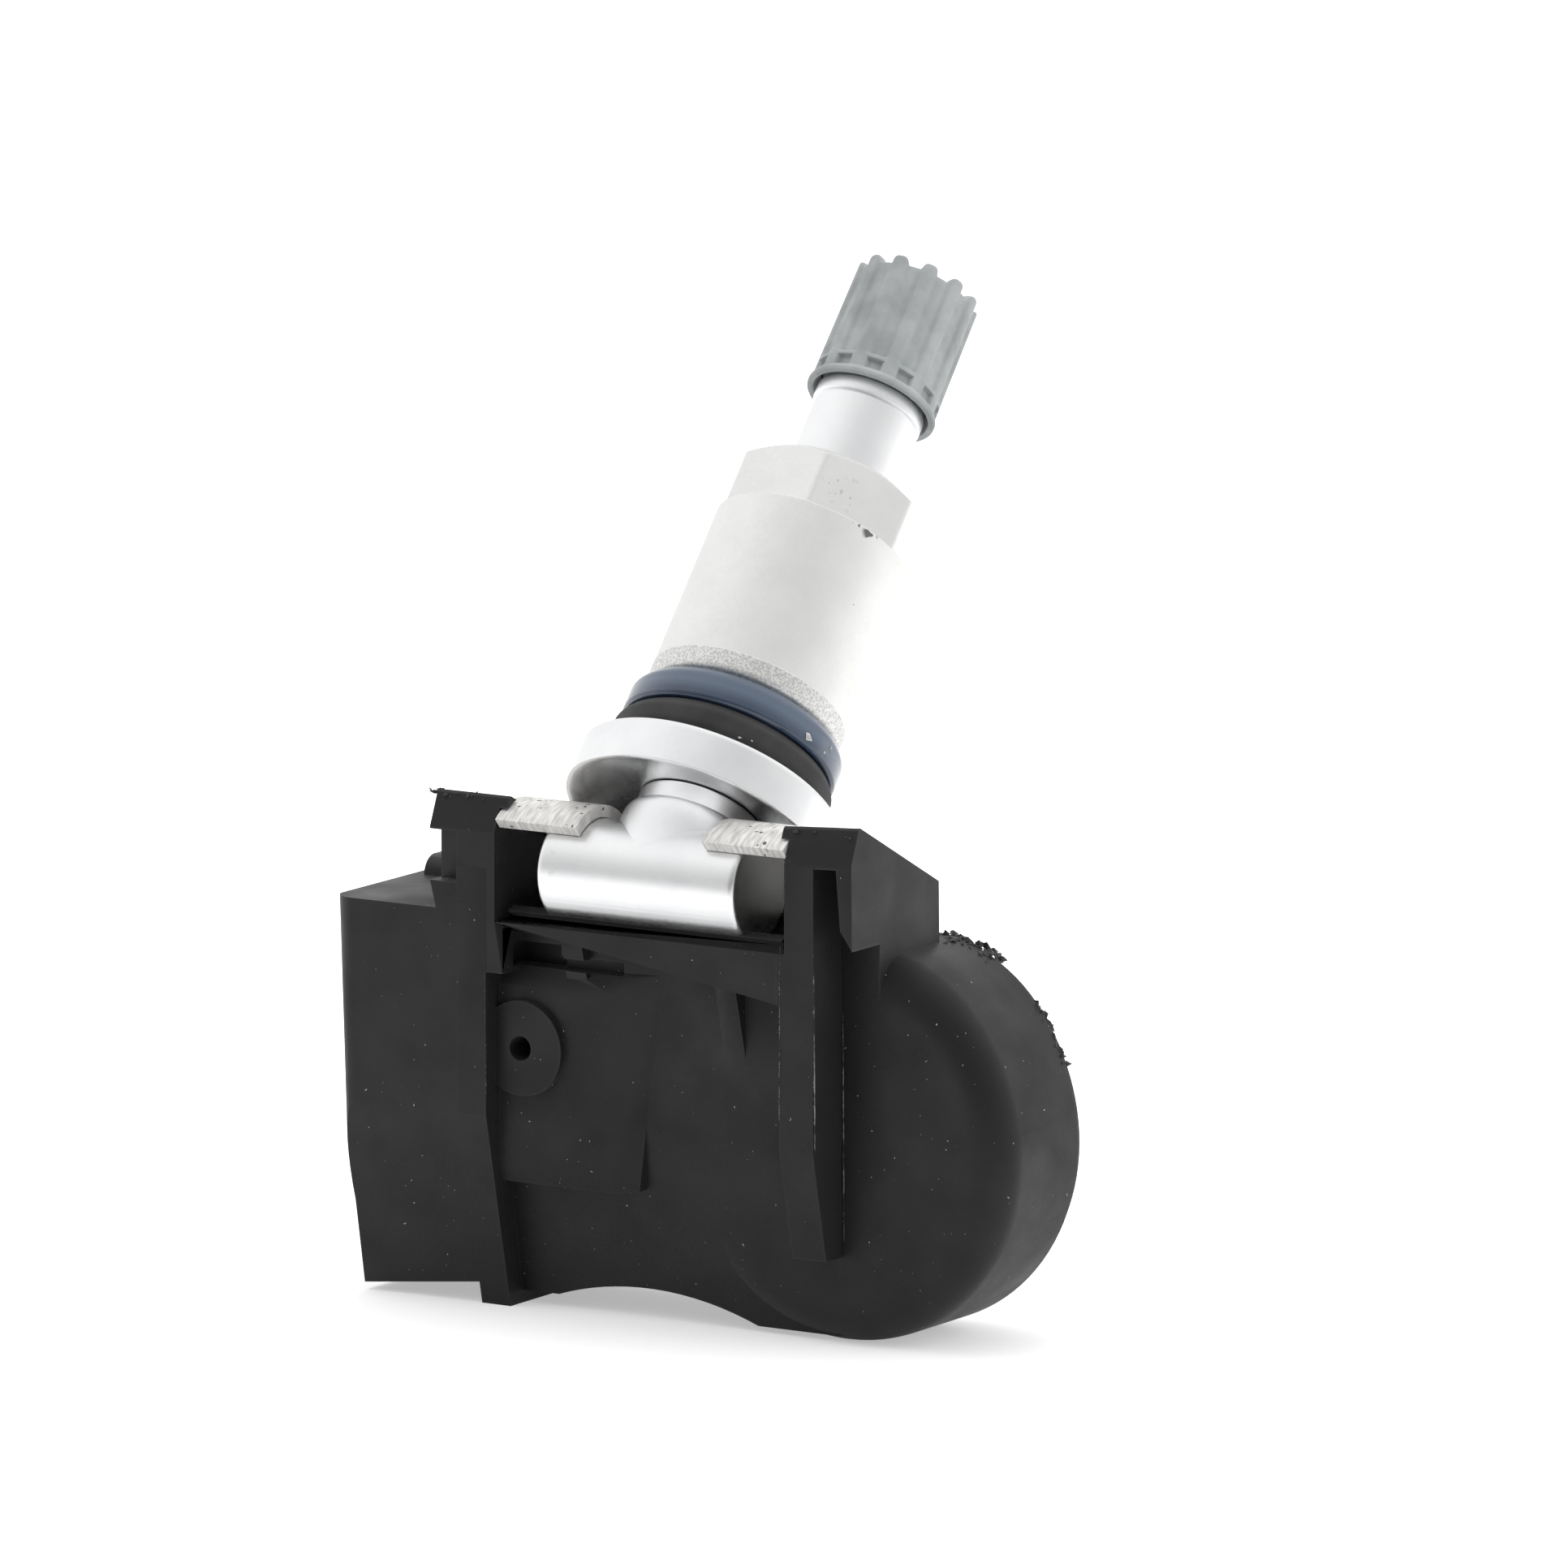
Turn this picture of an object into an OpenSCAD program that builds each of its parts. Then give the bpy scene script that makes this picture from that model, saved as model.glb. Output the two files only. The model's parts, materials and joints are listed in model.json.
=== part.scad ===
/* [Display] */
// Facets on large rounds
fine = 64; // [48:8:96]

/* [Valve stem pose and foot] */
// Lean of the stem back from vertical, degrees
stem_lean = 40.5; // [30:0.5:48]
// Height of the foot axis above the top of the round end
foot_rise = 3.9; // [3.6:0.1:4.4]
// Diameter of the cross foot of the stem
foot_d = 7.2; // [6.8:0.1:7.4]
// Length of the cross foot
foot_length = 15.6; // [15:0.2:16]
// Chamfer on the ends of the foot
foot_chamfer = 0.35; // [0.2:0.05:0.5]
// Diameter of the thread major
thread_d = 7.7; // [7.5:0.1:7.8]
// Diameter of the plain part of the shank
shank_d = 7.3; // [7:0.1:7.4]
// Pitch of the valve thread
thread_pitch = 0.794; // [0.7:0.01:0.9]
// Length of the stem from the foot axis
stem_length = 46.6; // [46:0.2:47]
// Distance of the stem axis behind the foot axis
foot_offset = 1.4; // [1.2:0.05:1.5]
// Diameter of the thick neck above the foot
neck_d = 9.7; // [9.5:0.05:9.8]
// Diameter of the collar the washer sits on
collar_d = 8.8; // [8.6:0.05:9]

/* [Support washer] */
// Outer diameter of the support washer
washer_d = 18.6; // [18:0.1:18.8]
// Station of the lower edge of its rim
washer_station = 4.75; // [4.7:0.05:4.9]
// Height of its rim
washer_height = 3.1; // [2.9:0.1:3.2]
// Radius of the hollow sphere of its underside
washer_dish_r = 19.6; // [19:0.2:21]

/* [Seal and ring] */
// Diameter of the rubber flange
flange_d = 15.7; // [15.2:0.1:16]
// Height of the rubber flange
flange_height = 2.8; // [2.6:0.1:2.9]
// Diameter of the rubber neck that fills the rim hole
seal_neck_d = 11.3; // [11:0.1:11.5]
// Diameter of the translucent ring
ring_d = 15.3; // [15:0.1:15.5]
// Height of the translucent ring
ring_height = 2.45; // [2.3:0.05:2.5]
// Air gap between neighbours in the clamped stack
stack_gap = 0.05; // [0.03:0.01:0.08]

/* [Nut] */
// Diameter of the round part of the nut
nut_d = 13.86; // [13.5:0.02:14]
// Length of the nut
nut_length = 18.8; // [18:0.2:19]
// Length of its hex end
hex_length = 4.2; // [3.8:0.1:4.6]
// Size across the flats of the hex
hex_flats = 12; // [11.8:0.1:12.1]
// Height of the chamfer band at the lower end
band_height = 1.1; // [0.9:0.1:1.3]

/* [Cap] */
// Diameter over the ribs of the cap
cap_rib_d = 9.2; // [9:0.1:9.4]
// Diameter of the skirt of the cap
cap_skirt_d = 9.7; // [9.5:0.1:9.9]
// Length of the cap
cap_length = 10.6; // [10.4:0.1:10.8]
// Number of ribs round the cap
cap_ribs = 16; // [14:1:18]
// Thickness of the crown of the cap
cap_crown = 1.15; // [1:0.05:1.3]
// Thickness of the seal in the crown of the cap
cap_seal_t = 0.6; // [0.5:0.05:0.7]

/* [Housing] */
// Rim of the round battery end outside the cell
cell_rim = 3.3; // [3.2:0.1:3.6]
// Sideways place of the battery end from the foot centre
lobe_x = 13.1; // [12.8:0.1:13.4]
// Left edge of the housing from the foot centre
block_left = 24.2; // [24:0.1:24.6]
// Depth of the housing behind the foot axis
housing_back = 10.2; // [10:0.1:10.4]
// Front face of the rails and ears ahead of the foot axis
rail_front = 2.95; // [2.8:0.05:3]
// Set back of the lower front face at the floor
lower_set_back = 3; // [2.6:0.1:3.2]
// Wall of the housing
wall = 1.4; // [1.2:0.1:1.5]
// Depth of the back cover
cover_depth = 2.7; // [2.4:0.1:3]
// Running clearance of the foot in its cradle
cradle_clearance = 0.05; // [0.04:0.01:0.08]
// Diameter of the pressure port
port_d = 1.7; // [1.4:0.1:1.9]

/* [Ears] */
// Inner face of each ear from the middle
ear_inner = 10.85; // [10.8:0.05:11]
// Outer face of each ear from the middle
ear_outer = 16.7; // [16.4:0.1:16.9]
// Height of the ears above the foot axis
ear_rise = 4.85; // [4.7:0.05:5]
// Depth of the ears from front to back
ear_depth = 11; // [10.6:0.1:11.4]

/* [Retaining clip] */
// Thickness of the clip steel
clip_t = 0.85; // [0.8:0.05:0.9]
// Inner edge of each prong from the middle
prong_inner = 5; // [4.8:0.1:5.2]
// Outer edge of each prong from the middle
prong_outer = 11.4; // [11.2:0.1:11.5]
// Angle of the prong tip ahead of vertical
prong_angle = 41; // [38:1:44]

/* [Electronics] */
// Thickness of the circuit board
board_t = 1; // [0.8:0.1:1.2]
// Diameter of the coin cell
cell_d = 20; // [19:0.2:20.4]
// Thickness of the coin cell
cell_t = 4.6; // [4.2:0.1:4.8]

/* [Hidden] */
seat_gap = 0.02;
frame_x = -1.1;
frame_y = -16.052;
lobe_r = cell_d / 2 + cell_rim;
lobe_z = lobe_r;
axis_height = 2 * lobe_r + foot_rise;
foot_r = foot_d / 2;
thread_r = thread_d / 2;
shank_r = shank_d / 2;
neck_r = neck_d / 2;
collar_r = collar_d / 2;
neck_top = foot_r + 1.05;
washer_top = washer_station + washer_height;
dish_centre = washer_station - sqrt(pow(washer_dish_r, 2) - pow(washer_d / 2 - 0.6, 2));
collar_station = dish_z(collar_r) - seat_gap;
flange_base = washer_top + stack_gap;
flange_top = flange_base + flange_height;
ring_base = flange_top + stack_gap;
ring_top = ring_base + ring_height;
nut_base = ring_top + stack_gap;
nut_top = nut_base + nut_length;
nut_r = nut_d / 2;
hex_base = nut_top - hex_length;
seal_neck_top = nut_base - stack_gap;
cap_seal_base = stem_length + 0.06;
cap_seal_top = cap_seal_base + cap_seal_t;
cap_top = cap_seal_top + 0.04 + cap_crown;
cap_base = cap_top - cap_length;
cap_root_r = cap_rib_d / 2 - 0.3;
cap_bore_r = thread_r + 0.07;
bore_top_r = 2.75;
bore_mid_r = 1.9;
bore_low_r = 1.3;
core_high = stem_length - 1.2;
core_shoulder = core_high - 7.4;
core_low = core_shoulder - 12;
pin_r = 0.6;
neck_cut = 22;
block_top = axis_height - 3.05;
block_bottom = 1.5;
kink_z = axis_height - 16.9;
deck_z = axis_height - 5.1;
panel_y = -0.65;
panel_low_y = 1.6;
lobe_front = 0.55;
rail_in_left = 12.2;
rail_out_left = 14.5;
rail_in_right = 11.1;
rail_out_right = 13.75;
rail_right_end = 6;
shelf_z = axis_height - 3.25;
shelf_t = 0.75;
cavity_front = 2.7;
cover_front = housing_back + 0.04;
cover_back = housing_back + cover_depth;
port_x = -10.2;
port_z = axis_height - 12.3;
boss_r = 3.25;
board_back = 8.2;
board_front = board_back - board_t;
cell_front = 3;
cell_back = cell_front + cell_t;
tab_t = 0.2;
tab_w = 3;
tab_gap = 0.04;
tab_x_plus = 2.6;
tab_x_minus = 3.2;
socket_r = foot_r + cradle_clearance + clip_t + 0.15;
clip_in_r = foot_r + cradle_clearance;
clip_out_r = clip_in_r + clip_t;
leg_low = lobe_z + cell_d / 2 + 0.5;
web_top = leg_low + 1.8;

// Station of the hollow sphere under the washer at a radius from the stem axis.
function dish_z(r) = dish_centre + sqrt(pow(washer_dish_r, 2) - r * r);

// Moves a child from the foot-axis frame to the row frame.
module placed() {
  translate([frame_x, frame_y, 0]) children();
}

// Frame with its origin on the foot axis, leaning with the stem.
module on_foot() {
  placed() translate([0, 0, axis_height]) rotate([-stem_lean, 0, 0]) children();
}

// The same frame, moved back to the axis of the stem.
module on_stem() {
  on_foot() translate([0, foot_offset, 0]) children();
}

// Cylinder lying along x, centred on x0..x1.
module bar_x(r, x0, x1, y, z) {
  translate([x0, y, z]) rotate([0, 90, 0]) cylinder(r = r, h = x1 - x0, $fn = fine);
}

// Cylinder lying along y from y0 to y1.
module disc_y(r, x, z, y0, y1) {
  translate([x, y0, z]) rotate([-90, 0, 0]) cylinder(r = r, h = y1 - y0, $fn = fine);
}

// Side profile (y to the right, z up) carried along x.
module along_x(x0, x1) {
  translate([x0, 0, 0]) rotate([90, 0, 90]) linear_extrude(height = x1 - x0) children();
}

// Front profile (x to the right, z up) carried along y.
module along_y(y0, y1) {
  translate([0, y1, 0]) rotate([90, 0, 0]) linear_extrude(height = y1 - y0) children();
}

// Rectangle with true arc corners.
module soft_rect(x0, z0, x1, z1, r) {
  translate([x0 + r, z0]) square([x1 - x0 - 2 * r, z1 - z0]);
  translate([x0, z0 + r]) square([x1 - x0, z1 - z0 - 2 * r]);
  for (x = [x0 + r, x1 - r], z = [z0 + r, z1 - r]) translate([x, z]) circle(r = r, $fn = 32);
}

// Side profile of a front wall that bends back below the kink.
module bent_profile(front, z_low, z_high, back) {
  lean = lower_set_back / kink_z;
  polygon([
    [front, z_high], [front, kink_z], [front + lean * (kink_z - z_low), z_low],
    [back, z_low], [back, z_high]
  ]);
}

// Round battery end with a soft front edge.
module lobe_solid() {
  soft = 2.6;
  translate([lobe_x, lobe_front, lobe_z]) rotate([-90, 0, 0])
    rotate_extrude($fn = fine) {
      square([lobe_r - soft, housing_back - lobe_front]);
      translate([0, soft]) square([lobe_r, housing_back - lobe_front - soft]);
      translate([lobe_r - soft, soft]) circle(r = soft, $fn = 32);
    }
}

// Left block, its lower front bending back, with a soft outer corner.
module block_solid() {
  intersection() {
    along_x(-block_left, -rail_out_left + 1)
      bent_profile(-rail_front, block_bottom, block_top, housing_back);
    translate([0, 0, block_bottom - 1]) linear_extrude(height = block_top + 2)
      soft_rect(-block_left, -rail_front, 0, housing_back + 4, 1.6);
  }
  along_x(-block_left + 0.9, -ear_outer + 2)
    translate([housing_back - 3.4, block_top - 1.9]) {
      square([3.4, 1.9]);
      translate([1.6, 1.9]) circle(r = 1.3, $fn = 32);
      translate([1.6, 1.9]) square([1.8, 1.3]);
    }
}

// Rails that stand proud of the middle panel.
module rails_solid() {
  along_x(-rail_out_left, -rail_in_left)
    bent_profile(-rail_front - 0.02, 0, axis_height, housing_back);
  intersection() {
    along_x(rail_in_right, rail_out_right)
      bent_profile(-rail_front, rail_right_end, axis_height, housing_back);
    along_y(-rail_front - 1, housing_back)
      polygon([
        [rail_in_right, axis_height + 1], [rail_in_right - 0.1, rail_right_end],
        [rail_out_right + 0.4, rail_right_end], [rail_out_right, axis_height + 1]
      ]);
  }
}

// Middle panel with its arch along the bottom edge.
module panel_solid() {
  intersection() {
    along_x(-rail_in_left - 0.5, lobe_x)
      polygon([
        [panel_y, deck_z], [panel_y, kink_z], [panel_low_y, 0.4],
        [housing_back, 0.4], [housing_back, deck_z]
      ]);
    along_y(-rail_front, housing_back)
      difference() {
        translate([-rail_in_left - 1, 0]) square([lobe_x + rail_in_left + 1, deck_z]);
        translate([-rail_in_left - 1, -1]) square([rail_in_left - 4, 1.9]);
        translate([-2, -20.5]) circle(r = 22.6, $fn = 96);
      }
  }
}

// Ear with a sloping top, as a side profile.
module ear_profile() {
  polygon([
    [-rail_front, deck_z - 2], [-rail_front, axis_height + ear_rise - 2.4],
    [-rail_front + 0.95, axis_height + ear_rise - 0.15], [-rail_front + 1.15, axis_height + ear_rise],
    [-rail_front + ear_depth, axis_height - 0.2],
    [-rail_front + ear_depth, deck_z - 2]
  ]);
}

module ears_solid() {
  along_x(-ear_outer + 0.5, -ear_inner) ear_profile();
  along_x(ear_inner, ear_outer) ear_profile();
}

// Hollow of the ears and the pockets in their front faces.
module ear_pockets() {
  // left front pocket
  translate([-ear_outer + 0.4, -rail_front - 1, axis_height - 1.2]) cube([1.75, 2.4, 3.5]);
  // right front pocket with a sloping outer side
  along_y(-rail_front - 1, lobe_front)
    polygon([
      [rail_out_right, axis_height + 2.1], [ear_outer - 1.2, axis_height + 2.1],
      [ear_outer - 0.9, axis_height - 2], [ear_outer + 2, axis_height - 6.5],
      [ear_outer + 2, rail_right_end - 3], [rail_out_right, rail_right_end - 3]
    ]);
  // rear cores, open at the back
  for (x = [-ear_outer + 1.9, ear_inner + 1.5])
    translate([x, 1.6, deck_z - 3.6]) cube([2.6, housing_back, 6.2]);
}

// Sockets that clear the prongs and the ends of the foot.
module foot_sockets() {
  bar_x(socket_r, -prong_outer - 0.1, prong_outer + 0.1, 0, axis_height);
}

// Cradle block under the foot with its front lip and shelves.
module cradle_solid() {
  along_x(-ear_inner - 0.5, ear_inner + 0.5)
    polygon([
      [-rail_front, axis_height - 2.6], [-rail_front, axis_height - 3.7],
      [panel_y, axis_height - 4.6], [panel_y, deck_z - 2], [clip_in_r, deck_z - 2],
      [clip_in_r, axis_height - 2.2], [0, axis_height - 2.6]
    ]);
}

// Gusset under the lip, deepest at the top.
module gusset(x0, x1, z_low, proud) {
  along_x(x0, x1)
    polygon([
      [panel_y - proud, axis_height - 3.6], [panel_y - proud, axis_height - 5],
      [panel_y + 0.1, z_low], [panel_y + 2, z_low], [panel_y + 2, axis_height - 3.6]
    ]);
}

// Shelf rib that tapers away from an ear.
module shelf_rib(side) {
  along_y(-rail_front + 0.05, panel_y + 1)
    polygon([
      [side * (ear_inner + 0.6), shelf_z], [side * (ear_inner - 2.9), shelf_z - 0.05],
      [side * (ear_inner - 3.2), shelf_z - 0.35], [side * (ear_inner - 2.6), shelf_z - 0.6],
      [side * ear_inner, shelf_z - shelf_t], [side * (ear_inner + 0.6), shelf_z - shelf_t - 0.5]
    ]);
}

// Raised plateau, half-round port boss and small reliefs on the panel.
module panel_relief() {
  hull() {
    along_x(-rail_in_left - 0.2, -3.6)
      polygon([
        [panel_y - 0.65, axis_height - 8.1], [panel_y - 0.65, axis_height - 20.4],
        [panel_y - 0.1, axis_height - 21.7], [panel_y + 2, axis_height - 21.7],
        [panel_y + 2, axis_height - 6.9], [panel_y - 0.1, axis_height - 6.9]
      ]);
    // feather edge on the right, its top corner drawn out to a point
    along_y(panel_y, panel_y + 1)
      polygon([[-3.6, axis_height - 6.9], [0.4, axis_height - 6.5], [-1.4, axis_height - 21.4]]);
  }
}

module port_boss() {
  intersection() {
    disc_y(boss_r, port_x, port_z, panel_y - 1.15, 1);
    translate([-rail_in_left, -rail_front, 0]) cube([rail_in_left, 6, axis_height]);
  }
}

// Battery and board hollow of the housing, open at the back.
module cavity() {
  translate([lobe_x, cavity_front, lobe_z]) rotate([-90, 0, 0])
    cylinder(r = lobe_r - wall, h = housing_back, $fn = fine);
  along_y(cavity_front + 0.6, housing_back + 1)
    soft_rect(-block_left + wall, block_bottom + wall, lobe_x, deck_z - wall, 1.2);
  translate([-block_left + wall, -rail_front + wall, kink_z + 0.8])
    cube([block_left - rail_out_left - 0.4, housing_back, block_top - kink_z - wall - 1]);
}

// Slots for the legs of the clip behind the cradle.
module clip_slots() {
  for (side = [-1, 1])
    translate([side * (prong_inner + prong_outer) / 2, clip_in_r + clip_t / 2, leg_low - 0.1])
      translate([-(prong_outer - prong_inner) / 2 - 0.1, -clip_t / 2 - 0.05, 0])
        cube([prong_outer - prong_inner + 0.2, clip_t + 0.1, 12]);
  translate([-prong_outer - 0.1, clip_in_r - 0.05, leg_low - 0.1])
    cube([2 * prong_outer + 0.2, clip_t + 0.1, web_top - leg_low + 4]);
}

module housing() {
  color("#2b2c2e") placed() difference() {
    union() {
      lobe_solid();
      block_solid();
      rails_solid();
      panel_solid();
      ears_solid();
      cradle_solid();
      gusset(-6.95, -5.35, axis_height - 8.8, 1);
      gusset(5.4, 7, axis_height - 11.8, 1.7);
      shelf_rib(-1);
      shelf_rib(1);
      panel_relief();
      port_boss();
    }
    cavity();
    ear_pockets();
    foot_sockets_upper();
    bar_x(clip_in_r, -ear_inner, ear_inner, 0, axis_height);
    clip_slots();
    swing_room();
    disc_y(port_d / 2, port_x, port_z, -rail_front - 1, cavity_front + 1);
    // pocket in the panel under the shelf, shallower towards the middle
    translate([-rail_in_left + 0.7, panel_y - 1, axis_height - 6.8]) cube([3.9, 2.4, 1.65]);
    translate([-rail_in_left + 4, panel_y - 1, axis_height - 6.8]) cube([5.6, 1.7, 0.9]);
  }
}

// Only the part of the sockets above the cradle lip.
module foot_sockets_upper() {
  difference() {
    foot_sockets();
    translate([-ear_inner, -20, 0]) cube([2 * ear_inner, 40, axis_height - 1.05]);
  }
}

// Room behind the foot in which the washer swings.
module swing_room() {
  translate([-ear_inner, clip_out_r + 0.1, deck_z]) cube([2 * ear_inner, 30, 20]);
}

// Back cover: a plate with a domed middle, welded round its edge.
module back_cover() {
  color("#26272a") placed() {
    translate([lobe_x, cover_front, lobe_z]) rotate([-90, 0, 0])
      rotate_extrude($fn = fine)
        polygon([
          [0, 0], [lobe_r - 0.5, 0], [lobe_r - 0.5, 1],
          [lobe_r - 2.2, cover_depth - 0.04], [0, cover_depth - 0.04]
        ]);
    along_y(cover_front, cover_back - 0.9)
      soft_rect(-block_left + 0.4, block_bottom + 0.2, lobe_x, deck_z - 0.2, 1.4);
    along_y(cover_front, cover_back)
      soft_rect(-block_left + 1.8, block_bottom + 1.6, lobe_x, deck_z - 1.6, 1.4);
    along_x(-rail_out_left, -rail_in_left)
      polygon([[cover_front, 0.02], [cover_back - 0.6, 0.02], [cover_back, 0.6],
        [cover_back, 8], [cover_front, 8]]);
  }
}

module circuit_board() {
  color("#1f6b3f") placed() difference() {
    along_y(board_front, board_back)
      soft_rect(-block_left + wall + 0.8, block_bottom + wall + 0.8, 2.4, deck_z - wall - 0.8, 0.8);
    disc_y(cell_d / 2 + 0.9, lobe_x, lobe_z, 0, 20);
    disc_y(0.6, -21, 5, 0, 20);
    disc_y(0.6, -21, 21, 0, 20);
  }
}

module cell_can() {
  color("#c9ccd0") placed() difference() {
    disc_y(cell_d / 2, lobe_x, lobe_z, cell_front + 0.5, cell_back);
    disc_y(cell_d / 2 - 0.3, lobe_x, lobe_z, cell_front + 0.4, cell_back - 0.3);
  }
}

module cell_cap() {
  color("#b9bdc2") placed() {
    disc_y(cell_d / 2 - 0.9, lobe_x, lobe_z, cell_front, cell_back - 0.36);
  }
}

module cell_gasket() {
  color("#3a3a3c") placed() difference() {
    disc_y(cell_d / 2 - 0.33, lobe_x, lobe_z, cell_front + 0.3, cell_back - 0.34);
    disc_y(cell_d / 2 - 0.87, lobe_x, lobe_z, 0, 20);
  }
}

// Tab on the can: strip on the cell, bend beside it and foot on the board.
module cell_tab_plus() {
  low = board_front - tab_gap - tab_t;
  color("#d7d3c4") placed() difference() {
    translate([0, 0, lobe_z + 3]) {
      translate([tab_x_plus, cell_back + tab_gap, 0]) cube([8, tab_t, tab_w]);
      translate([tab_x_plus, low, 0]) cube([tab_t, cell_back + tab_gap + tab_t - low, tab_w]);
      translate([tab_x_plus - 3, low, 0]) cube([3 + tab_t, tab_t, tab_w]);
    }
    disc_y(0.5, lobe_x - 4, lobe_z + 3 + tab_w / 2, 0, 20);
  }
}

// Tab on the cap: the same form, bent the other way.
module cell_tab_minus() {
  high = board_front - tab_gap;
  color("#d7d3c4") placed() translate([0, 0, lobe_z - 3 - tab_w]) {
    translate([tab_x_minus, cell_front - tab_gap - tab_t, 0]) cube([6.9, tab_t, tab_w]);
    translate([tab_x_minus, cell_front - tab_gap - tab_t, 0])
      cube([tab_t, high - cell_front + tab_gap + tab_t, tab_w]);
    translate([tab_x_minus - 2.8, high - tab_t, 0]) cube([2.8 + tab_t, tab_t, tab_w]);
  }
}

module pressure_chip() {
  color("#18191b") placed() difference() {
    translate([port_x - 3, board_front - 2.12, port_z - 3]) cube([6, 2.1, 6]);
    disc_y(0.6, port_x, port_z, board_front - 2.2, board_front - 1.3);
  }
}

module port_seal() {
  color("#5b6e84") placed() difference() {
    disc_y(2, port_x, port_z, cavity_front + 0.62, board_front - 2.14);
    disc_y(1, port_x, port_z, 0, 20);
  }
}

module coil_core() {
  color("#4a4b50") placed() {
    translate([-20.6, board_front - 3.1, 7.4]) cube([2.8, 2.8, 11.2]);
    translate([-20.9, board_front - 3.3, 7]) cube([3.4, 3.28, 0.9]);
    translate([-20.9, board_front - 3.3, 18.1]) cube([3.4, 3.28, 0.9]);
  }
}

module coil_winding() {
  color("#b5652a") placed() difference() {
    translate([-21, board_front - 3.5, 8]) cube([3.6, 3.45, 10]);
    translate([-20.63, board_front - 3.13, 7]) cube([2.86, 2.86, 12]);
  }
}

module antenna() {
  color("#cfc9b0") placed() {
    translate([-22, board_back + 0.02, 4.4]) cube([0.6, 1.2, 17.8]);
    translate([-22, board_back + 0.6, 21.6]) cube([16, 0.6, 0.6]);
    translate([-6.6, board_back + 0.02, 21.6]) cube([0.6, 1.2, 0.6]);
  }
}

module crystal() {
  color("#c2c4c8") placed()
    translate([-15.6, board_front - 0.92, 5]) cube([3.2, 0.9, 2.5]);
}

module capacitors() {
  color("#b59a6a") placed()
    for (x = [-8.4, -5.8, -3.2])
      translate([x, board_front - 0.82, 6.2]) cube([1.6, 0.8, 0.8]);
}

// Clip: two prongs over the foot, legs behind it and a joining web.
module retaining_clip() {
  color("#b9b6ae") placed() difference() {
    union() {
      for (side = [-1, 1]) {
        x0 = side > 0 ? prong_inner : -prong_outer;
        x1 = side > 0 ? prong_outer : -prong_inner;
        bar_x(clip_out_r, x0, x1, 0, axis_height);
        translate([x0, clip_in_r + 0.02, leg_low])
          cube([x1 - x0, clip_t - 0.02, axis_height - leg_low]);
      }
      translate([-prong_outer, clip_in_r + 0.02, leg_low])
        cube([2 * prong_outer, clip_t - 0.02, web_top - leg_low]);
    }
    bar_x(clip_in_r + 0.02, -20, 20, 0, axis_height);
    // cut everything ahead of the prong tips and the lower front of the rings
    along_x(-20, 20)
      translate([0, axis_height])
        polygon([
          [0, 0], [-20 * sin(prong_angle), 20 * cos(prong_angle)],
          [-30, 0], [-20, -20], [clip_in_r + 0.01, -20], [clip_in_r + 0.01, 0]
        ]);
  }
}

// Profile of the stem turned about its own axis, radius against station.
module stem_profile() {
  groove = thread_r - 0.35;
  seat_steps = 6;
  polygon([
    [0, 0], [neck_r, 0], [neck_r, neck_top - 0.9], [neck_r - 0.12, neck_top - 0.45],
    [neck_r - 0.4, neck_top - 0.12], [collar_r - 0.1, neck_top],
    [collar_r - 0.1, collar_station - 0.3], [collar_r, collar_station - 0.15],
    for (i = [0 : seat_steps]) let(r = collar_r + (thread_r - collar_r) * i / seat_steps)
      [r, dish_z(r) - seat_gap],
    [thread_r, flange_base],
    [thread_r, nut_top - 1.4], [shank_r, nut_top - 1], [shank_r, cap_base - 0.25],
    [groove, cap_base - 0.2], [groove, cap_base + 0.05], [thread_r - 0.05, cap_base + 0.1],
    [thread_r, cap_base + 0.4], [thread_r, stem_length - 0.7], [thread_r - 0.6, stem_length],
    [0, stem_length]
  ]);
}

module valve_stem() {
  color("#c8cacc") difference() {
    union() {
      difference() {
        on_stem() rotate_extrude($fn = fine) stem_profile();
        // the neck is cut away behind the foot so that it clears the cradle
        on_foot() rotate([neck_cut, 0, 0]) translate([-neck_r - 1, 0, -20])
          cube([2 * neck_r + 2, 20, 20]);
      }
      placed() {
        bar_x(foot_r, -foot_length / 2 + foot_chamfer, foot_length / 2 - foot_chamfer, 0, axis_height);
        for (side = [-1, 1])
          translate([side * (foot_length / 2 - foot_chamfer), 0, axis_height])
            rotate([0, side * 90, 0])
              cylinder(r1 = foot_r, r2 = foot_r - foot_chamfer, h = foot_chamfer, $fn = fine);
      }
    }
    on_stem() {
      translate([0, 0, core_shoulder]) cylinder(r = bore_top_r, h = 20, $fn = 48);
      translate([0, 0, core_low]) cylinder(r = bore_mid_r, h = 20, $fn = 48);
      translate([0, 0, foot_r + 0.4]) cylinder(r = bore_low_r, h = 30, $fn = 32);
      // cross hole that lets the air out under the washer, on the hidden side
      translate([0, 0, (neck_top + collar_station) / 2]) rotate([-90, 0, 0])
        cylinder(r = 0.6, h = 8, $fn = 32);
    }
  }
}

// Dished washer: a disc with a spherical hollow in its underside.
module support_washer() {
  color("#d2d4d6") on_stem() rotate_extrude($fn = fine)
    difference() {
      union() {
        translate([thread_r + 0.15, washer_station])
          square([washer_d / 2 - thread_r - 0.15, washer_height - 0.3]);
        translate([thread_r + 0.15, washer_station])
          square([washer_d / 2 - thread_r - 0.45, washer_height]);
        translate([washer_d / 2 - 0.3, washer_top - 0.3]) circle(r = 0.3, $fn = 32);
      }
      translate([0, dish_centre]) circle(r = washer_dish_r, $fn = 128);
    }
}

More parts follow.
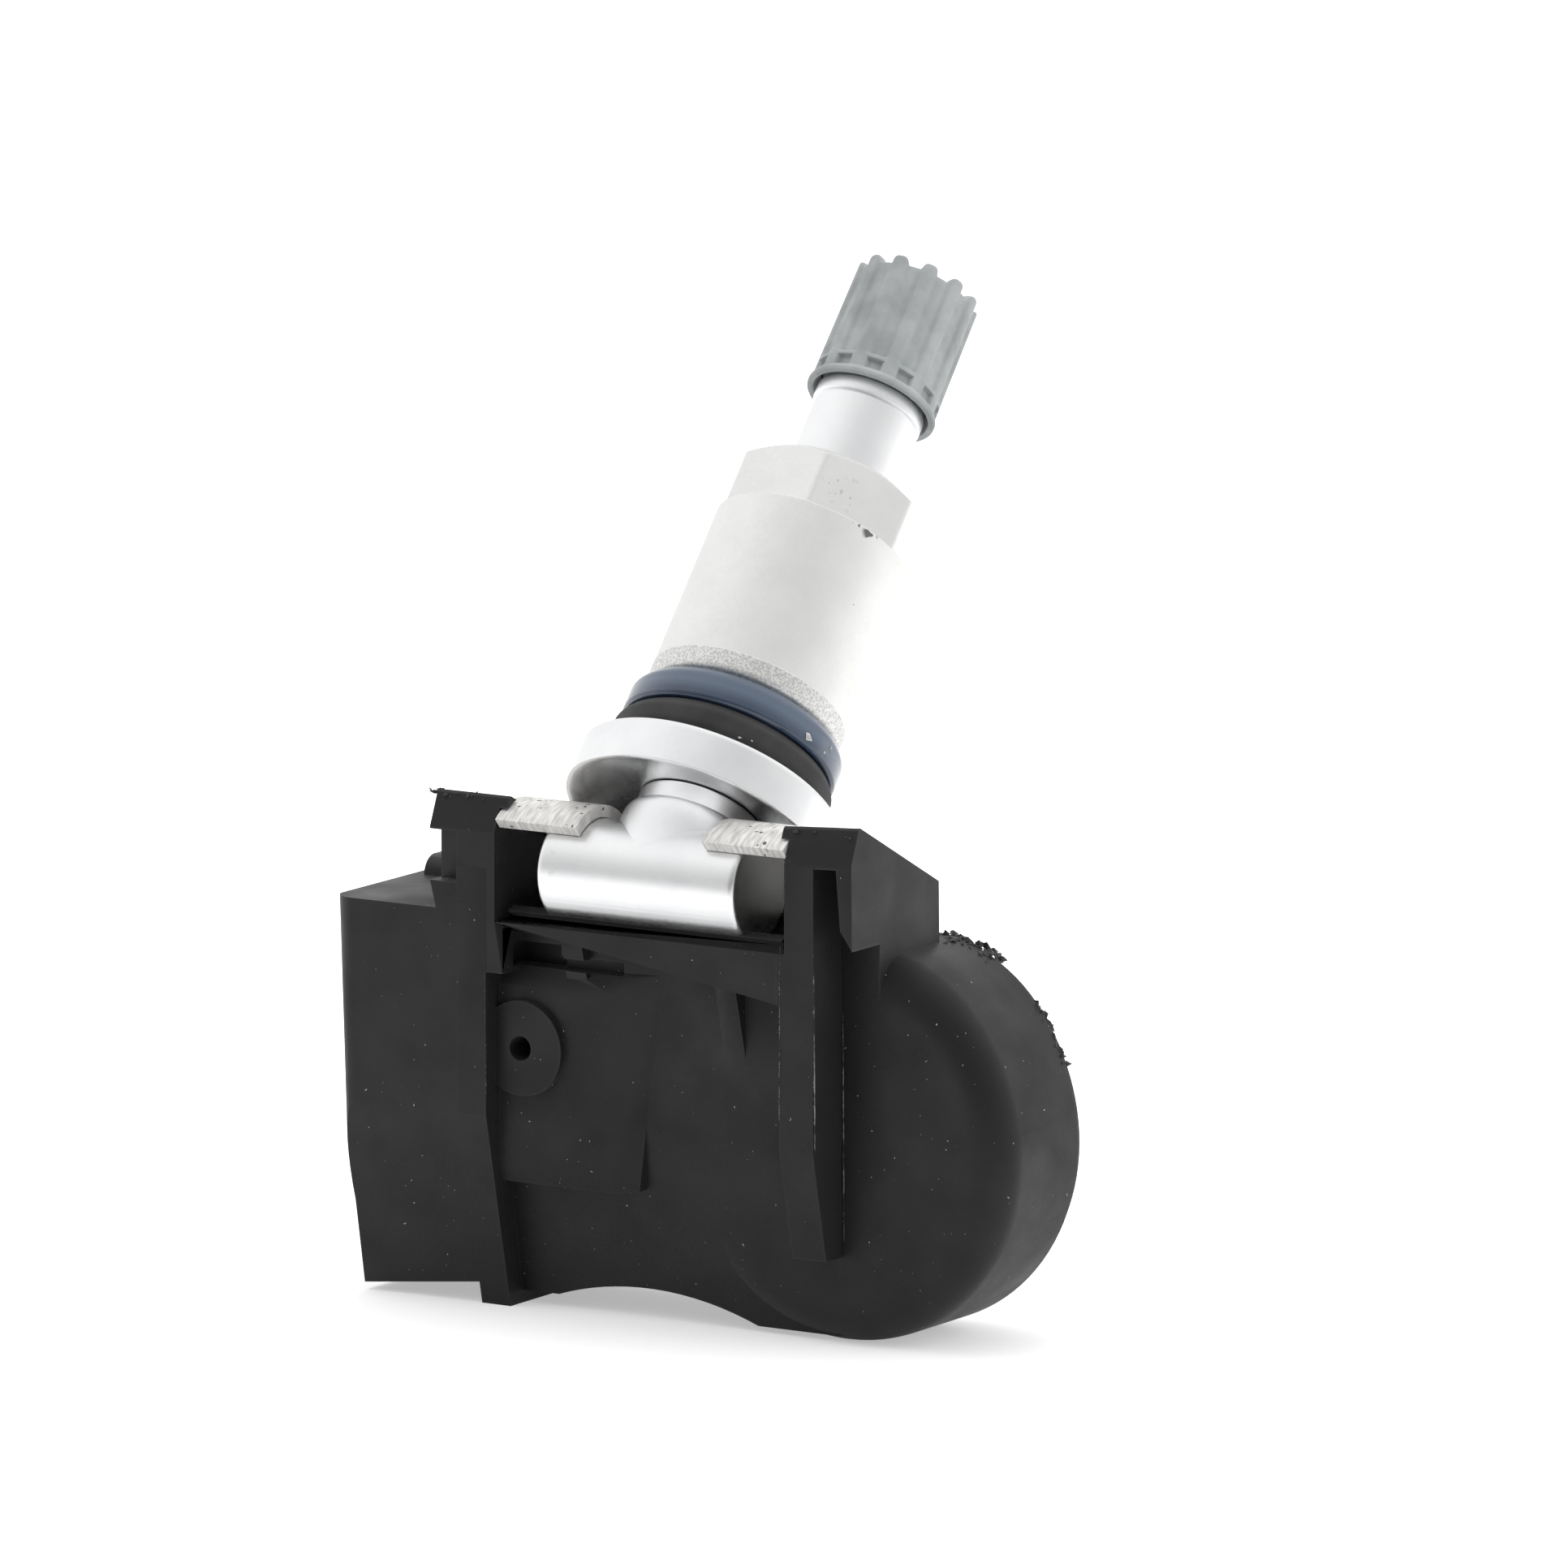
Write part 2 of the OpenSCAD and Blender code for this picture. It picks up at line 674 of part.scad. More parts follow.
// Rubber seal: soft-edged flange and the neck that fills the rim hole.
module rubber_seal() {
  soft = flange_height / 2;
  color("#1c1c1d") on_stem() rotate_extrude($fn = fine) difference() {
    union() {
      translate([0, flange_base]) square([flange_d / 2 - soft * 0.55, flange_height]);
      intersection() {
        translate([flange_d / 2 - soft, flange_base + soft]) circle(r = soft, $fn = 48);
        translate([0, flange_base]) square([flange_d, flange_height]);
      }
      translate([0, flange_top - 0.1]) square([seal_neck_d / 2, seal_neck_top - flange_top]);
    }
    square([thread_r + 0.05, 40]);
  }
}

module blue_ring() {
  color([0.16, 0.36, 0.72, 0.8]) on_stem() rotate_extrude($fn = fine)
    polygon([
      [seal_neck_d / 2 + 0.15, ring_base], [ring_d / 2 - 0.2, ring_base],
      [ring_d / 2, ring_base + 0.25], [ring_d / 2, ring_top - 0.6],
      [ring_d / 2 - 0.45, ring_top], [seal_neck_d / 2 + 0.15, ring_top]
    ]);
}

// Nut: round body, hex end cut from the round, chamfered at both ends.
module nut() {
  color("#c4c5c4") on_stem() difference() {
    intersection() {
      translate([0, 0, nut_base]) union() {
        cylinder(r1 = nut_r - 0.42, r2 = nut_r, h = band_height, $fn = fine);
        translate([0, 0, band_height])
          cylinder(r = nut_r, h = nut_length - band_height - 1.3, $fn = fine);
        translate([0, 0, nut_length - 1.3])
          cylinder(r1 = nut_r, r2 = nut_r - 1.15, h = 1.3, $fn = fine);
      }
      union() {
        translate([0, 0, nut_base - 1]) cylinder(r = nut_r + 1, h = hex_base - nut_base + 1, $fn = 48);
        translate([0, 0, hex_base - 1]) rotate([0, 0, 30 + 23])
          cylinder(r = hex_flats / sqrt(3), h = hex_length + 2, $fn = 6);
      }
    }
    translate([0, 0, nut_base - 1]) cylinder(r = thread_r + 0.05, h = nut_length + 2, $fn = fine);
    translate([0, 0, nut_base - 0.01])
      cylinder(r1 = thread_r + 0.9, r2 = thread_r + 0.05, h = 0.85, $fn = fine);
    translate([0, 0, nut_top - 0.84])
      cylinder(r1 = thread_r + 0.05, r2 = thread_r + 0.9, h = 0.85, $fn = fine);
  }
}

// Valve core: threaded barrel with a square drive at the top.
module core_barrel() {
  color("#c9a64e") on_stem() difference() {
    union() {
      translate([0, 0, core_shoulder + 2.2]) cylinder(r = bore_top_r - 0.03, h = 4, $fn = 48);
      translate([0, 0, core_shoulder - 5]) cylinder(r = 1.55, h = 8, $fn = 48);
      translate([-0.6, -1.9, core_high - 2]) cube([1.2, 3.8, 2]);
    }
    translate([0, 0, core_shoulder - 6]) cylinder(r = pin_r + 0.25, h = 20, $fn = 32);
    translate([-3, -3, core_high - 2 + 0.7]) difference() {
      cube([6, 6, 2]);
      translate([2.4, 1.1, -1]) cube([1.2, 3.8, 5]);
    }
  }
}

module core_seal() {
  color("#a33b2c") on_stem() difference() {
    translate([0, 0, core_shoulder + 0.05]) cylinder(r = bore_top_r - 0.05, h = 2.1, $fn = 48);
    translate([0, 0, core_shoulder - 1]) cylinder(r = 1.58, h = 5, $fn = 48);
  }
}

module core_pin() {
  color("#cdb161") on_stem() {
    translate([0, 0, core_low + 2.6]) cylinder(r = pin_r, h = core_high - core_low - 2.8, $fn = 32);
    translate([0, 0, core_high - 0.5]) cylinder(r = pin_r + 0.15, h = 0.35, $fn = 32);
  }
}

// Rubber-faced cup that closes the lower end of the barrel.
module core_cup() {
  color("#37373a") on_stem() difference() {
    translate([0, 0, core_shoulder - 6.3]) cylinder(r = 1.6, h = 1.28, $fn = 32);
    translate([0, 0, core_shoulder - 7]) cylinder(r = pin_r + 0.01, h = 4, $fn = 32);
  }
}

// Return spring of the core as a stack of flat rings.
module core_spring() {
  turns = 6;
  low = core_low + 0.02;
  high = core_shoulder - 6.35;
  step = (high - low) / turns;
  color("#9a9ca0") on_stem() difference() {
    union() {
      for (i = [0 : turns - 1])
        translate([0, 0, low + i * step + 0.05]) cylinder(r = 1.5, h = 0.28, $fn = 32);
      for (i = [0 : turns - 2])
        translate([i % 2 == 0 ? 0.8 : -1.45, -0.3, low + i * step + 0.2])
          cube([0.65, 0.6, step]);
    }
    translate([0, 0, low - 1]) cylinder(r = pin_r + 0.2, h = 12, $fn = 32);
  }
}

// Cap: ribbed barrel, skirt with small windows, crown with rib tops.
module valve_cap() {
  rib_pitch = 360 / cap_ribs;
  skirt_h = 1.2;
  color("#77787a") on_stem() translate([0, 0, cap_base]) difference() {
    union() {
      cylinder(r = cap_root_r, h = cap_length - 0.9, $fn = fine);
      translate([0, 0, cap_length - 0.9])
        cylinder(r1 = cap_root_r, r2 = cap_root_r - 1.2, h = 0.65, $fn = fine);
      cylinder(r1 = cap_skirt_d / 2 - 0.15, r2 = cap_skirt_d / 2, h = 0.4, $fn = fine);
      translate([0, 0, 0.4]) cylinder(r = cap_skirt_d / 2, h = skirt_h - 0.4, $fn = fine);
      translate([0, 0, skirt_h])
        cylinder(r1 = cap_skirt_d / 2, r2 = cap_root_r, h = 0.5, $fn = fine);
      for (i = [0 : cap_ribs - 1]) rotate([0, 0, i * rib_pitch]) {
        translate([cap_rib_d / 2 - 0.5, 0, skirt_h - 0.3])
          cylinder(r = 0.5, h = cap_length - skirt_h - 0.2, $fn = 16);
        translate([cap_rib_d / 2 - 1.7, -0.5, cap_length - 1.1]) cube([1.3, 1, 0.6]);
      }
    }
    translate([0, 0, -1]) cylinder(r = cap_bore_r, h = cap_length - cap_crown + 1, $fn = fine);
    translate([0, 0, -0.01])
      cylinder(r1 = cap_bore_r + 0.45, r2 = cap_bore_r, h = 0.5, $fn = fine);
    for (i = [0 : cap_ribs - 1]) rotate([0, 0, (i + 0.5) * rib_pitch])
      translate([cap_root_r - 0.12, -0.3, skirt_h + 0.55]) cube([1, 0.6, 0.9]);
  }
}

module cap_seal() {
  color("#202022") on_stem() translate([0, 0, cap_seal_base])
    cylinder(r = cap_bore_r - 0.07, h = cap_seal_top - cap_seal_base, $fn = 48);
}

housing();
back_cover();
circuit_board();
cell_can();
cell_cap();
cell_gasket();
cell_tab_plus();
cell_tab_minus();
pressure_chip();
port_seal();
coil_core();
coil_winding();
antenna();
crystal();
capacitors();
retaining_clip();
valve_stem();
support_washer();
rubber_seal();
blue_ring();
nut();
core_barrel();
core_seal();
core_pin();
core_cup();
core_spring();
valve_cap();
cap_seal();
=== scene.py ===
import json
import math

import bmesh
import bpy
import numpy as np
from mathutils import Matrix, Vector


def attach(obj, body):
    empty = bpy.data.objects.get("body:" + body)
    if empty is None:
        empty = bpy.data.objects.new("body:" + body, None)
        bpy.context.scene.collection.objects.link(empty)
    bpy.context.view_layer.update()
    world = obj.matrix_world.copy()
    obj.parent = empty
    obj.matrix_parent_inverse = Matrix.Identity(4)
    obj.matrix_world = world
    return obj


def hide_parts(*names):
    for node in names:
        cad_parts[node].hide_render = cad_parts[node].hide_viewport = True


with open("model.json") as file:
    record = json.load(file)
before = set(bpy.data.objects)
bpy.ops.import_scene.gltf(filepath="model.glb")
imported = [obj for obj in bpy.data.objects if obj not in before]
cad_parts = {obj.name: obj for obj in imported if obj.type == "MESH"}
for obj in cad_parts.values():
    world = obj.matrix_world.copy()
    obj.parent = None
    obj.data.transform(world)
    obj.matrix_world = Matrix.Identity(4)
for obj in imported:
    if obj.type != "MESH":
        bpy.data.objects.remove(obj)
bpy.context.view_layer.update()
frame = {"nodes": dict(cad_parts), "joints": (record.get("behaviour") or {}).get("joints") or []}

scene = bpy.context.scene
scene.view_settings.view_transform = "Standard"


# HOUSING
# Glass-filled nylon shell that holds board and cell: a round battery end, a left block, two
# rails, ears and the cradle for the stem's foot. Injection moulded in one shot, matt and black,
# with flash left along the parting edges and pale dust in the grain.

def shader(tree, kind, sockets=None, **options):
    """Adds one shader node. Options are its settings; each socket gets a value or another node's output."""
    made = tree.nodes.new("ShaderNode" + kind)
    for key, value in options.items():
        setattr(made, key, value)
    for key, value in (sockets or {}).items():
        if isinstance(value, bpy.types.NodeSocket):
            tree.links.new(value, made.inputs[key])
        else:
            made.inputs[key].default_value = value
    return made


def effect(name, inputs, outputs):
    """Starts a shader node group with named float inputs (name to default) and named outputs (name to type)."""
    tree = bpy.data.node_groups.new(name, "ShaderNodeTree")
    for key, value in inputs.items():
        tree.interface.new_socket(key, in_out="INPUT", socket_type="NodeSocketFloat").default_value = value
    for key, kind in outputs.items():
        tree.interface.new_socket(key, in_out="OUTPUT", socket_type=kind)
    return tree, tree.nodes.new("NodeGroupInput").outputs, tree.nodes.new("NodeGroupOutput").inputs


def use(tree, group, **values):
    """Places an effect in a material and sets its inputs; underscores in the keys stand for spaces."""
    made = tree.nodes.new("ShaderNodeGroup")
    made.node_tree = group
    for key, value in values.items():
        made.inputs[key.replace("_", " ")].default_value = value
    return made.outputs


# Grain: two noises, fine and coarse, as height and as tone.
grain, given, result = effect(
    "grain", {"Fine": 4000.0, "Coarse": 120.0, "Stretch": 1.0},
    {"Height": "NodeSocketFloat", "Tone": "NodeSocketFloat", "Smudge": "NodeSocketFloat"})
place = shader(grain, "TexCoord").outputs["Object"]
fine_noise = shader(grain, "TexNoise", {"Vector": place, "Scale": given["Fine"], "Detail": 2.0})
coarse_noise = shader(grain, "TexNoise", {"Vector": place, "Scale": given["Coarse"], "Detail": 5.0})
wide_noise = shader(grain, "TexNoise", {"Vector": place, "Scale": 45.0, "Detail": 3.0})
grain.links.new(fine_noise.outputs["Fac"], result["Height"])
grain.links.new(coarse_noise.outputs["Fac"], result["Tone"])
grain.links.new(wide_noise.outputs["Fac"], result["Smudge"])

# Specks: sparse round spots, one at most in each cell, kept only in a share of the cells.
specks, given, result = effect(
    "specks", {"Scale": 500.0, "Size": 0.12, "Share": 0.03}, {"Mask": "NodeSocketFloat"})
place = shader(specks, "TexCoord").outputs["Object"]
wobble = shader(specks, "TexNoise", {"Vector": place, "Scale": 3000.0, "Detail": 1.0}).outputs["Color"]
shifted = shader(specks, "MixRGB", {"Fac": 0.0004, "Color1": place, "Color2": wobble}, blend_type="ADD")
cells = shader(specks, "TexVoronoi", {"Vector": shifted.outputs[0], "Scale": given["Scale"]})
chosen = shader(specks, "SeparateColor", {"Color": cells.outputs["Color"]})
near = shader(specks, "Math", {0: cells.outputs["Distance"], 1: given["Size"]}, operation="LESS_THAN")
kept = shader(specks, "Math", {0: chosen.outputs["Red"], 1: given["Share"]}, operation="LESS_THAN")
both = shader(specks, "Math", {0: near.outputs[0], 1: kept.outputs[0]}, operation="MULTIPLY")
specks.links.new(both.outputs[0], result["Mask"])

# Edge wear: where the surface normal, averaged over a small radius, leaves the true one.
edge_wear, given, result = effect(
    "edge_wear", {"Radius": 0.0003, "Strength": 6.0}, {"Mask": "NodeSocketFloat"})
rounded = shader(edge_wear, "Bevel", {"Radius": given["Radius"]}, samples=2)
true_normal = shader(edge_wear, "NewGeometry").outputs["Normal"]
agree = shader(edge_wear, "VectorMath", {0: rounded.outputs[0], 1: true_normal}, operation="DOT_PRODUCT")
apart = shader(edge_wear, "Math", {0: 1.0, 1: agree.outputs["Value"]}, operation="SUBTRACT")
scaled = shader(edge_wear, "Math", {0: apart.outputs[0], 1: given["Strength"]}, operation="MULTIPLY", use_clamp=True)
edge_wear.links.new(scaled.outputs[0], result["Mask"])


def material(name, rough, metal=0.0, **sockets):
    """A material with one Principled shader; sockets are its constant values, with underscores for spaces."""
    made = bpy.data.materials.new(name)
    made.use_nodes = True
    tree = made.node_tree
    tree.nodes.clear()
    bsdf = shader(tree, "BsdfPrincipled", {"Roughness": rough, "Metallic": metal})
    for key, value in sockets.items():
        bsdf.inputs[key.replace("_", " ")].default_value = value
    shader(tree, "OutputMaterial", {"Surface": bsdf.outputs[0]})
    return made, tree, bsdf


def ramp(tree, value, low, high, tone_low, tone_high):
    """Carries a value from low..high to tone_low..tone_high, held flat outside."""
    return shader(tree, "MapRange", {"Value": value, "From Min": low, "From Max": high,
                                     "To Min": tone_low, "To Max": tone_high}).outputs["Result"]


def blend_colour(tree, share, under, over):
    """Mixes two colours by a mask; either may be a value or another node's output."""
    return shader(tree, "MixRGB", {"Fac": share, "Color1": under, "Color2": over}).outputs[0]


def two_tone(tree, tone, dark, pale, low=0.35, high=0.65):
    """Goes from one colour to another as a tone goes from low to high."""
    return blend_colour(tree, ramp(tree, tone, low, high, 0.0, 1.0), dark, pale)


def times(tree, first, second):
    """Product of two values."""
    return shader(tree, "Math", {0: first, 1: second}, operation="MULTIPLY").outputs[0]


def emboss(tree, bsdf, height, strength, distance, **sockets):
    """Turns a height into a bump on the shader's normal; distance is in metres."""
    bump = shader(tree, "Bump", {"Strength": strength, "Distance": distance, "Height": height, **sockets})
    tree.links.new(bump.outputs[0], bsdf.inputs["Normal"])
    return bump


def moulded_black(name, dark, pale, dust=0.02, rough_low=0.42, rough_high=0.62):
    """Black moulded nylon: dark ground with paler clouds and edges, pale dust specks and a fine grain."""
    made, tree, bsdf = material(name, 0.5, Specular_IOR_Level=0.33, Sheen_Weight=0.15, Sheen_Roughness=0.45)
    noise = use(tree, grain, Fine=5200.0, Coarse=260.0)
    ground = two_tone(tree, noise["Smudge"], dark, pale, 0.38, 0.66)
    worn = use(tree, edge_wear, Radius=0.00022, Strength=1.6)["Mask"]
    scuffed = blend_colour(tree, times(tree, worn, noise["Tone"]), ground, (0.06, 0.061, 0.063, 1))
    small = use(tree, specks, Scale=2000.0, Size=0.06, Share=dust * 4.0)["Mask"]
    large = use(tree, specks, Scale=1000.0, Size=0.055, Share=dust * 6.0)["Mask"]
    dots = shader(tree, "Math", {0: small, 1: large}, operation="MAXIMUM").outputs[0]
    dusted = blend_colour(tree, dots, scuffed, (0.4, 0.4, 0.39, 1))
    tree.links.new(dusted, bsdf.inputs["Base Color"])
    tree.links.new(ramp(tree, noise["Tone"], 0.3, 0.7, rough_low, rough_high), bsdf.inputs["Roughness"])
    emboss(tree, bsdf, noise["Height"], 0.28, 0.00003)
    return made


def soft_edged(node, name, width, segments=2, corner=28.0, shift=None):
    """Copies a CAD node's mesh, merges its corners and joins its flat faces, then rounds every edge
    sharper than the corner angle with an arc of the given width. Faces between the edges stay put,
    unless shift, which takes and gives all corners in mm from the foot's axis, moves some a little."""
    mesh = frame["nodes"][node].data.copy()
    mesh.name = name
    shape = bmesh.new()
    shape.from_mesh(mesh)
    bmesh.ops.remove_doubles(shape, verts=shape.verts, dist=3e-6)
    bmesh.ops.dissolve_limit(shape, angle_limit=math.radians(0.6), verts=shape.verts, edges=shape.edges)
    shape.to_mesh(mesh)
    shape.free()
    if shift:
        points = np.empty(len(mesh.vertices) * 3)
        mesh.vertices.foreach_get("co", points)
        foot = np.array(foot_point)
        points = foot + 0.001 * shift((points.reshape(-1, 3) - foot) * 1000)
        mesh.vertices.foreach_set("co", points.ravel())
    mesh.polygons.foreach_set("use_smooth", np.ones(len(mesh.polygons), bool))
    mesh.set_sharp_from_angle(angle=math.radians(corner))
    piece = bpy.data.objects.new(name, mesh)
    scene.collection.objects.link(piece)
    if width:
        edge = piece.modifiers.new("edge", "BEVEL")
        edge.width = width
        edge.segments = segments
        edge.limit_method = "ANGLE"
        edge.angle_limit = math.radians(corner)
        edge.harden_normals = True
    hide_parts(node)
    return piece


def dress(piece, finish, body):
    """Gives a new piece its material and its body."""
    piece.data.materials.clear()
    piece.data.materials.append(finish)
    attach(piece, body)
    return piece


def paint(node, finish):
    """Gives a CAD node that stays as it is its finish."""
    frame["nodes"][node].data.materials.clear()
    frame["nodes"][node].data.materials.append(finish)


foot_point = Vector(next(joint for joint in frame["joints"] if joint["name"] == "stem_tilt")["pos_m"])
foot_mm = np.array(foot_point) * 1000
housing_black = moulded_black("housing_black", (0.007, 0.0072, 0.0078, 1), (0.0105, 0.0108, 0.0116, 1), dust=0.05)


# Middle of the round end in mm from the foot's axis.
lobe_x, lobe_z = 13.1, -17.2


def shoulder(turn):
    """How far, in mm, the round end's upper shoulder stands out at an angle in radians: a bell curve."""
    return 0.6 * np.exp(-((turn - 1.08) / 0.5) ** 2)


def block_reach(points):
    """Carries the block's left side 0.5 mm out above and 0.4 mm in below, its lower end 1 mm down, and
    the round end's upper shoulder outwards, as the photograph shows them."""
    x, y, z = points.T
    x = x - (0.5 - 0.9 * np.clip((-12.5 - z) / 12.0, 0.0, 1.0)) * np.clip((-16.9 - x) / 7.2, 0.0, 1.0)
    turn, reach = np.arctan2(z - lobe_z, x - lobe_x), np.hypot(z - lobe_z, x - lobe_x)
    push = shoulder(turn) * np.clip((reach - 9.0) / 4.0, 0.0, 1.0) * (x > lobe_x)
    x, z = x + push * np.cos(turn), z + push * np.sin(turn)
    z = z - 1.0 * np.clip((-27.8 - z) / 1.0, 0.0, 1.0) * np.clip((-14.6 - x) / 0.4, 0.0, 1.0)
    return np.stack([x, y, z], -1)


def housing_reach(points):
    """The block's reach, a cradle lip and plateau edge that fall back into the panel, and a wider left ear."""
    x, y, z = block_reach(points).T
    lip = (np.abs(x) < 10.9) & (y < -2.5) & (z < -2.3) & (z > -3.9)
    edge = (np.abs(x + 3.6) < 0.4) & (y < -0.95) & (z < -6.0) & (z > -22.5)
    y = np.where(lip, -1.5, y)
    z = np.where(lip & (z < -3.0), -3.3, z)
    y = np.where(edge, -0.95, y)
    x = np.where((x < -16.1) & (x > -16.3) & (z > -2.5), -16.65, x)
    return np.stack([x, y, z], -1)


dress(soft_edged("housing", "housing_shell", 0.0003, 3, shift=housing_reach), housing_black, "housing")


# BACK COVER
# Flat nylon lid with a domed middle, welded round its edge over the board and the cell.
# Moulded from the same nylon, a little smoother because it comes off a polished tool face.

cover_black = moulded_black("cover_black", (0.013, 0.0135, 0.0145, 1), (0.018, 0.0185, 0.02, 1), dust=0.03,
                            rough_low=0.36, rough_high=0.52)
dress(soft_edged("back_cover", "welded_cover", 0.0002, shift=block_reach), cover_black, "housing")


# BOARD, CELL AND ELECTRONICS
# Sealed inside the housing: a glass-epoxy board with its sensor chip, coil, crystal and
# capacitors, and a steel coin cell with welded nickel tabs. Fixed by solder and the cover's weld.

def plain_finish(name, dark, pale, rough, metal=0.0):
    """Two near tones mixed by noise, roughness that varies with it, and a fine bump."""
    made, tree, bsdf = material(name, rough, metal)
    noise = use(tree, grain, Fine=3600.0, Coarse=600.0)
    tree.links.new(two_tone(tree, noise["Tone"], dark, pale), bsdf.inputs["Base Color"])
    tree.links.new(ramp(tree, noise["Smudge"], 0.3, 0.7, rough * 0.85, rough * 1.15), bsdf.inputs["Roughness"])
    emboss(tree, bsdf, noise["Height"], 0.5, 0.00001)
    return made


inner_finishes = {
    "circuit_board": ((0.03, 0.16, 0.07, 1), (0.045, 0.22, 0.1, 1), 0.35, 0.0),
    "cell_can": ((0.5, 0.51, 0.53, 1), (0.64, 0.65, 0.67, 1), 0.3, 1.0),
    "cell_cap": ((0.55, 0.56, 0.58, 1), (0.68, 0.69, 0.7, 1), 0.26, 1.0),
    "cell_gasket": ((0.16, 0.16, 0.16, 1), (0.22, 0.22, 0.22, 1), 0.5, 0.0),
    "cell_tab_plus": ((0.6, 0.58, 0.52, 1), (0.72, 0.7, 0.64, 1), 0.28, 1.0),
    "cell_tab_minus": ((0.58, 0.56, 0.5, 1), (0.7, 0.68, 0.62, 1), 0.28, 1.0),
    "pressure_chip": ((0.03, 0.03, 0.032, 1), (0.05, 0.05, 0.053, 1), 0.55, 0.0),
    "port_seal": ((0.12, 0.17, 0.23, 1), (0.17, 0.22, 0.29, 1), 0.6, 0.0),
    "coil_core": ((0.06, 0.06, 0.068, 1), (0.09, 0.09, 0.1, 1), 0.5, 0.0),
    "antenna": ((0.6, 0.56, 0.45, 1), (0.72, 0.68, 0.58, 1), 0.3, 1.0),
    "crystal": ((0.6, 0.61, 0.63, 1), (0.7, 0.71, 0.73, 1), 0.25, 1.0),
    "capacitors": ((0.42, 0.32, 0.2, 1), (0.52, 0.41, 0.27, 1), 0.45, 0.0),
}
for node, values in inner_finishes.items():
    paint(node, plain_finish(node + "_finish", *values))

# The winding: enamelled copper wire laid turn by turn, as fine ridges across the core; the colour goes dark in the
# grooves between the turns, painted shade.
wire_copper, tree, bsdf = material("wire_copper", 0.3, 0.9)
place = shader(tree, "TexCoord").outputs["Object"]
turns = shader(tree, "TexWave", {"Vector": place, "Scale": 1500.0, "Distortion": 0.4}, bands_direction="Z")
copper_and_groove_shade = blend_colour(tree, turns.outputs["Fac"], (0.2, 0.06, 0.02, 1), (0.62, 0.27, 0.1, 1))
tree.links.new(copper_and_groove_shade, bsdf.inputs["Base Color"])
emboss(tree, bsdf, turns.outputs["Fac"], 0.8, 0.00005)
paint("coil_winding", wire_copper)


# RETAINING CLIP
# Spring steel fork sheared from sheet: two prongs wrap over the stem's foot, the web sits in
# the housing behind it. Pressed in; its cut ends show torn, grainy metal with a burr.

clip_steel, tree, bsdf = material("clip_steel", 0.5, 0.1)
noise = use(tree, grain, Fine=3500.0, Coarse=1400.0)
place = shader(tree, "TexCoord").outputs["Object"]
stretched_place = shader(tree, "Mapping", {"Vector": place, "Scale": (4200.0, 900.0, 500.0)}).outputs[0]
lines = shader(tree, "TexNoise", {"Vector": stretched_place, "Scale": 1.0, "Detail": 3.0}).outputs["Fac"]
ground = two_tone(tree, lines, (0.6, 0.585, 0.565, 1), (0.93, 0.915, 0.89, 1))
pits = use(tree, specks, Scale=2400.0, Size=0.3, Share=0.12)["Mask"]
tree.links.new(blend_colour(tree, pits, ground, (0.14, 0.13, 0.12, 1)), bsdf.inputs["Base Color"])
tree.links.new(ramp(tree, noise["Smudge"], 0.3, 0.7, 0.4, 0.65), bsdf.inputs["Roughness"])
emboss(tree, bsdf, lines, 0.7, 0.00004)
dress(soft_edged("retaining_clip", "clip_fork", 0.00006), clip_steel, "housing")


# VALVE STEM
# Turned aluminium stem with a cross foot and a round neck in one piece with it; clear anodised.
# The foot lies in the housing's cradle, the shank carries washer, seal, ring and nut, and the
# end under the cap has the 7.7 mm valve thread.

stem_lean = math.radians(40.5)
stem_axis = Vector((0.0, math.sin(stem_lean), math.cos(stem_lean)))
stem_back = Vector((0.0, math.cos(stem_lean), -math.sin(stem_lean)))
across = Vector((1.0, 0.0, 0.0))
stem_axes = (across, stem_back, stem_axis)
stem_point = foot_point + 0.0014 * stem_back
neck_point = foot_point + 0.00125 * stem_back


def softened(corners, radii, steps=4):
    """Rounds a profile. corners holds (radius, station) in mm, as (points, columns, 2) or (points, 2). Each
    inner corner becomes an arc (1-t)^2 start + 2t(1-t) corner + t^2 end that begins and ends its radius
    away, with one more row a little further out, so that the flats between keep their place and normals."""
    corners = np.asarray(corners, float)
    corners = corners[:, None, :] if corners.ndim == 2 else corners
    middle = corners[1:-1]
    before, after = corners[:-2] - middle, corners[2:] - middle
    length_before = np.maximum(np.linalg.norm(before, axis=2, keepdims=True), 1e-9)
    length_after = np.maximum(np.linalg.norm(after, axis=2, keepdims=True), 1e-9)
    reach = np.minimum(np.asarray(radii, float)[:, None, None], 0.3 * np.minimum(length_before, length_after))
    before, after = before / length_before * reach, after / length_after * reach
    t = np.linspace(0.0, 1.0, steps + 1)[None, :, None, None]
    start, end = (middle + before)[:, None], (middle + after)[:, None]
    arc = (1 - t) ** 2 * start + 2 * t * (1 - t) * middle[:, None] + t ** 2 * end
    rows = np.concatenate([(middle + 1.5 * before)[:, None], arc, (middle + 1.5 * after)[:, None]], axis=1)
    return np.concatenate([corners[:1], rows.reshape(-1, *corners.shape[1:]), corners[-1:]])


def profile_of(columns, corners):
    """Profile whose corners (radius, station) may change from column to column: each is a value or one a column."""
    return np.stack([np.stack(np.broadcast_arrays(*corner, columns)[:2], -1) for corner in corners])


